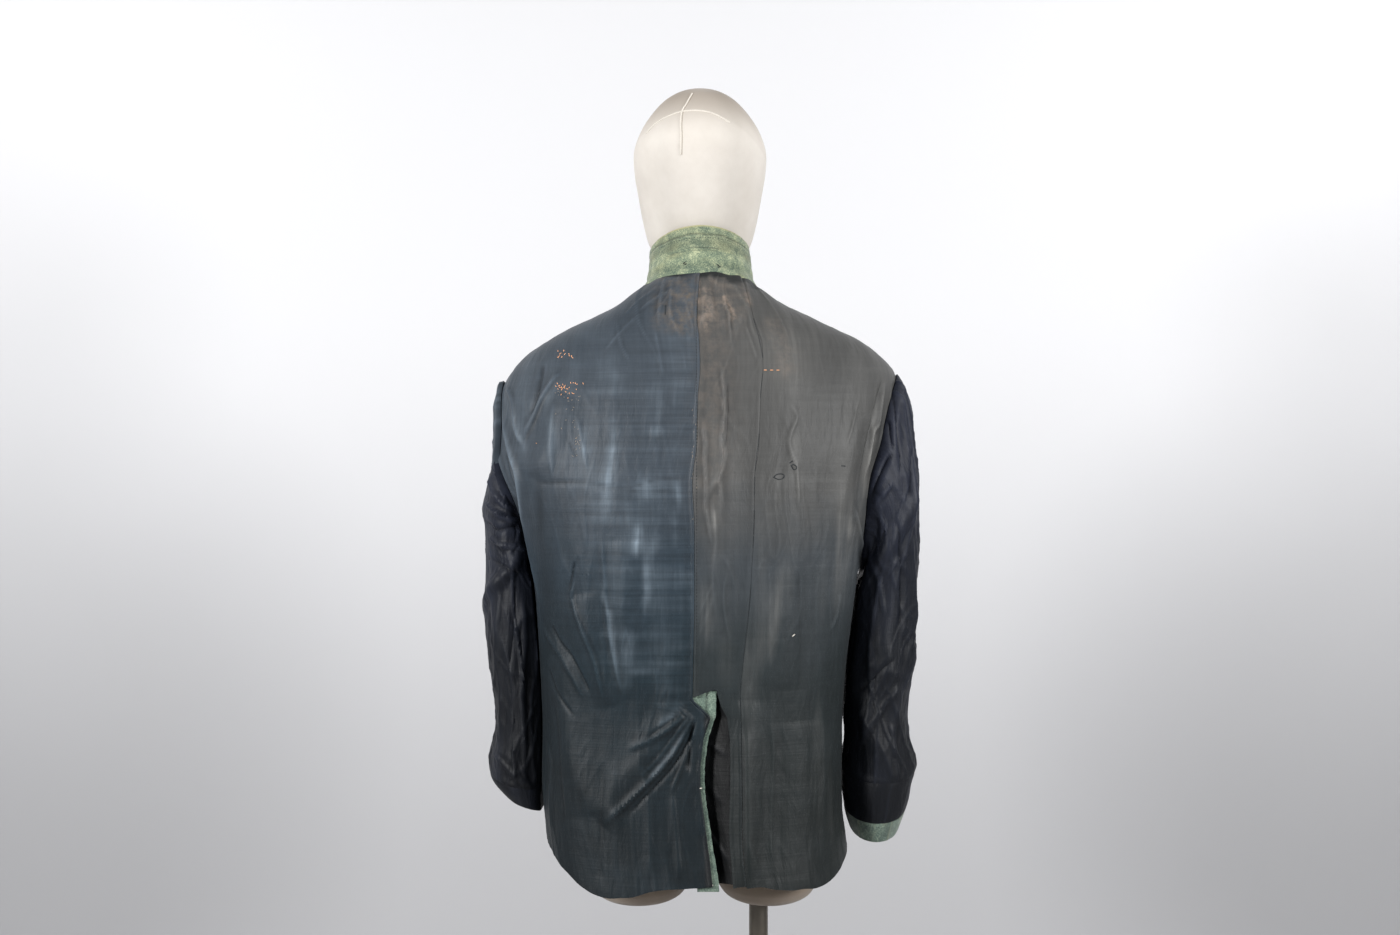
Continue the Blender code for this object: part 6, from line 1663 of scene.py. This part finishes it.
# %% Loose threads
# Groups of loose ends: middle x and height in millimetres, spread across and upwards, and their number
ORANGE_GROUPS = ((-155, 1466, 4, 2.5, 7), (-142, 1465, 5, 2, 5), (-145, 1428, 7, 6, 22),
                 (-156, 1432, 8, 2, 4), (-179, 1368, 1, 1, 1))
PALE_GROUPS = ((-140, 1400, 7, 10, 14), (-134, 1366, 3, 9, 16), (-150, 1420, 5, 5, 8), (-6, 1345, 2, 40, 12))


def scattered(groups, seed):
    """Single points on the cloth, scattered round the middles of their groups."""
    scatter = np.random.default_rng(seed)
    places = [(x + scatter.normal() * wide, z + scatter.normal() * tall)
              for x, z, wide, tall, count in groups for _ in range(count)]
    return spots_on(cloth_rays, places, 0.0001)


fray("orange_thread_scraps", scattered(ORANGE_GROUPS, 5), 0.0030, 0.0008, 5, orange_thread)
fray("pale_thread_scraps", scattered(PALE_GROUPS, 6), 0.0022, 0.0005, 7, dusty_thread_and_seam_shadow)
sew("basting_stitches", [line_on(cloth_rays, [(71, 1446), (86, 1446)], 0.001, 0.0003)],
    0.0058, 0.0040, 0.0010, orange_thread)

# %% [markdown]
# ## Studio
#
# The photograph was taken against a white wall with soft light from both sides, in a room that is dark
# behind the camera, so black cloth stays black. A floor that curves up into a wall has no corner to
# distract. Two lamps beside the camera and a weaker one above light the jacket, and two more light only
# the wall, high up, so that it fades downwards. The paper is also painted darker towards the floor, as
# painted shade. The floor and wall aren't part of the object. The paper is white on its inner side and
# clear from its reverse, so the jacket's front can be looked at through it.

# %% Backdrop and lights
sweep_profile = [(-3.2, 0.0), (0.2, 0.0), (0.6, 0.02), (0.85, 0.12), (1.0, 0.32), (1.05, 0.6), (1.05, 3.4)]
profile = rows_at(sweep_profile, np.linspace(0, len(sweep_profile) - 1, 60))
backdrop_mesh = bpy.data.meshes.new("studio_sweep")
sweep_points = [(x, y, z - 0.0005) for y, z in profile for x in (-4.0, 4.0)]
backdrop_mesh.from_pydata(sweep_points, [],
                          [(2 * k, 2 * k + 1, 2 * k + 3, 2 * k + 2) for k in range(len(profile) - 1)])
backdrop_mesh.shade_smooth()
backdrop = bpy.data.objects.new("studio_sweep", backdrop_mesh)
bpy.context.scene.collection.objects.link(backdrop)
paper, tree, shader, place = new_finish("matte_white_paper")
level = add_node(tree, "ShaderNodeSeparateXYZ", None, {0: place}).outputs["Z"]
# Painted shade: the paper's colour runs from grey near the floor to white high up, as the light falls off
# downwards.
cloudy = reckon(tree, "MULTIPLY_ADD", noise(tree, place, 1 / 3, 3.0), 0.06, level)
white = ramp(tree, remap(tree, cloudy, 0.6, 1.7, soft=True), (0.0, "#bdbdbf"), (1.0, "#e2e2e4"))
tree.links.new(white, shader.inputs["Base Color"])
shader.inputs["Roughness"].default_value = 0.95
reverse = add_node(tree, "ShaderNodeNewGeometry").outputs["Backfacing"]
clear = add_node(tree, "ShaderNodeBsdfTransparent").outputs[0]
one_way = add_node(tree, "ShaderNodeMixShader", None, {0: reverse, 1: shader.outputs[0], 2: clear}).outputs[0]
tree.links.new(one_way, tree.nodes["Material Output"].inputs["Surface"])
backdrop_mesh.materials.append(paper)


def lamp(name, place, aim, width, power):
    """A wide soft lamp that looks at a point."""
    light = bpy.data.lights.new(name, "AREA")
    light.shape, light.size, light.energy = "DISK", width, power
    made = bpy.data.objects.new(name, light)
    made.location = place
    made.rotation_euler = (Vector(aim) - Vector(place)).to_track_quat("-Z", "Y").to_euler()
    bpy.context.scene.collection.objects.link(made)


lamp("soft_lamp_left", (-1.75, -1.45, 1.75), (0, 0.1, 1.35), 0.6, 52)
lamp("soft_lamp_right", (1.75, -1.45, 1.75), (0, 0.1, 1.35), 0.6, 45)
lamp("soft_lamp_above", (0, -1.2, 3.1), (0, 0.3, 1.4), 1.2, 9)
lamp("wall_lamp_left", (-1.5, 0.1, 2.4), (-0.6, 1.05, 1.6), 0.8, 4)
lamp("wall_lamp_right", (1.5, 0.1, 2.4), (0.6, 1.05, 1.6), 0.8, 6)
world = bpy.data.worlds.new("pale_room")
world.use_nodes = True
world.node_tree.nodes["Background"].inputs["Color"].default_value = (0.92, 0.93, 0.95, 1)
world.node_tree.nodes["Background"].inputs["Strength"].default_value = 0.16
bpy.context.scene.world = world
print("studio: a sweep and five lamps")
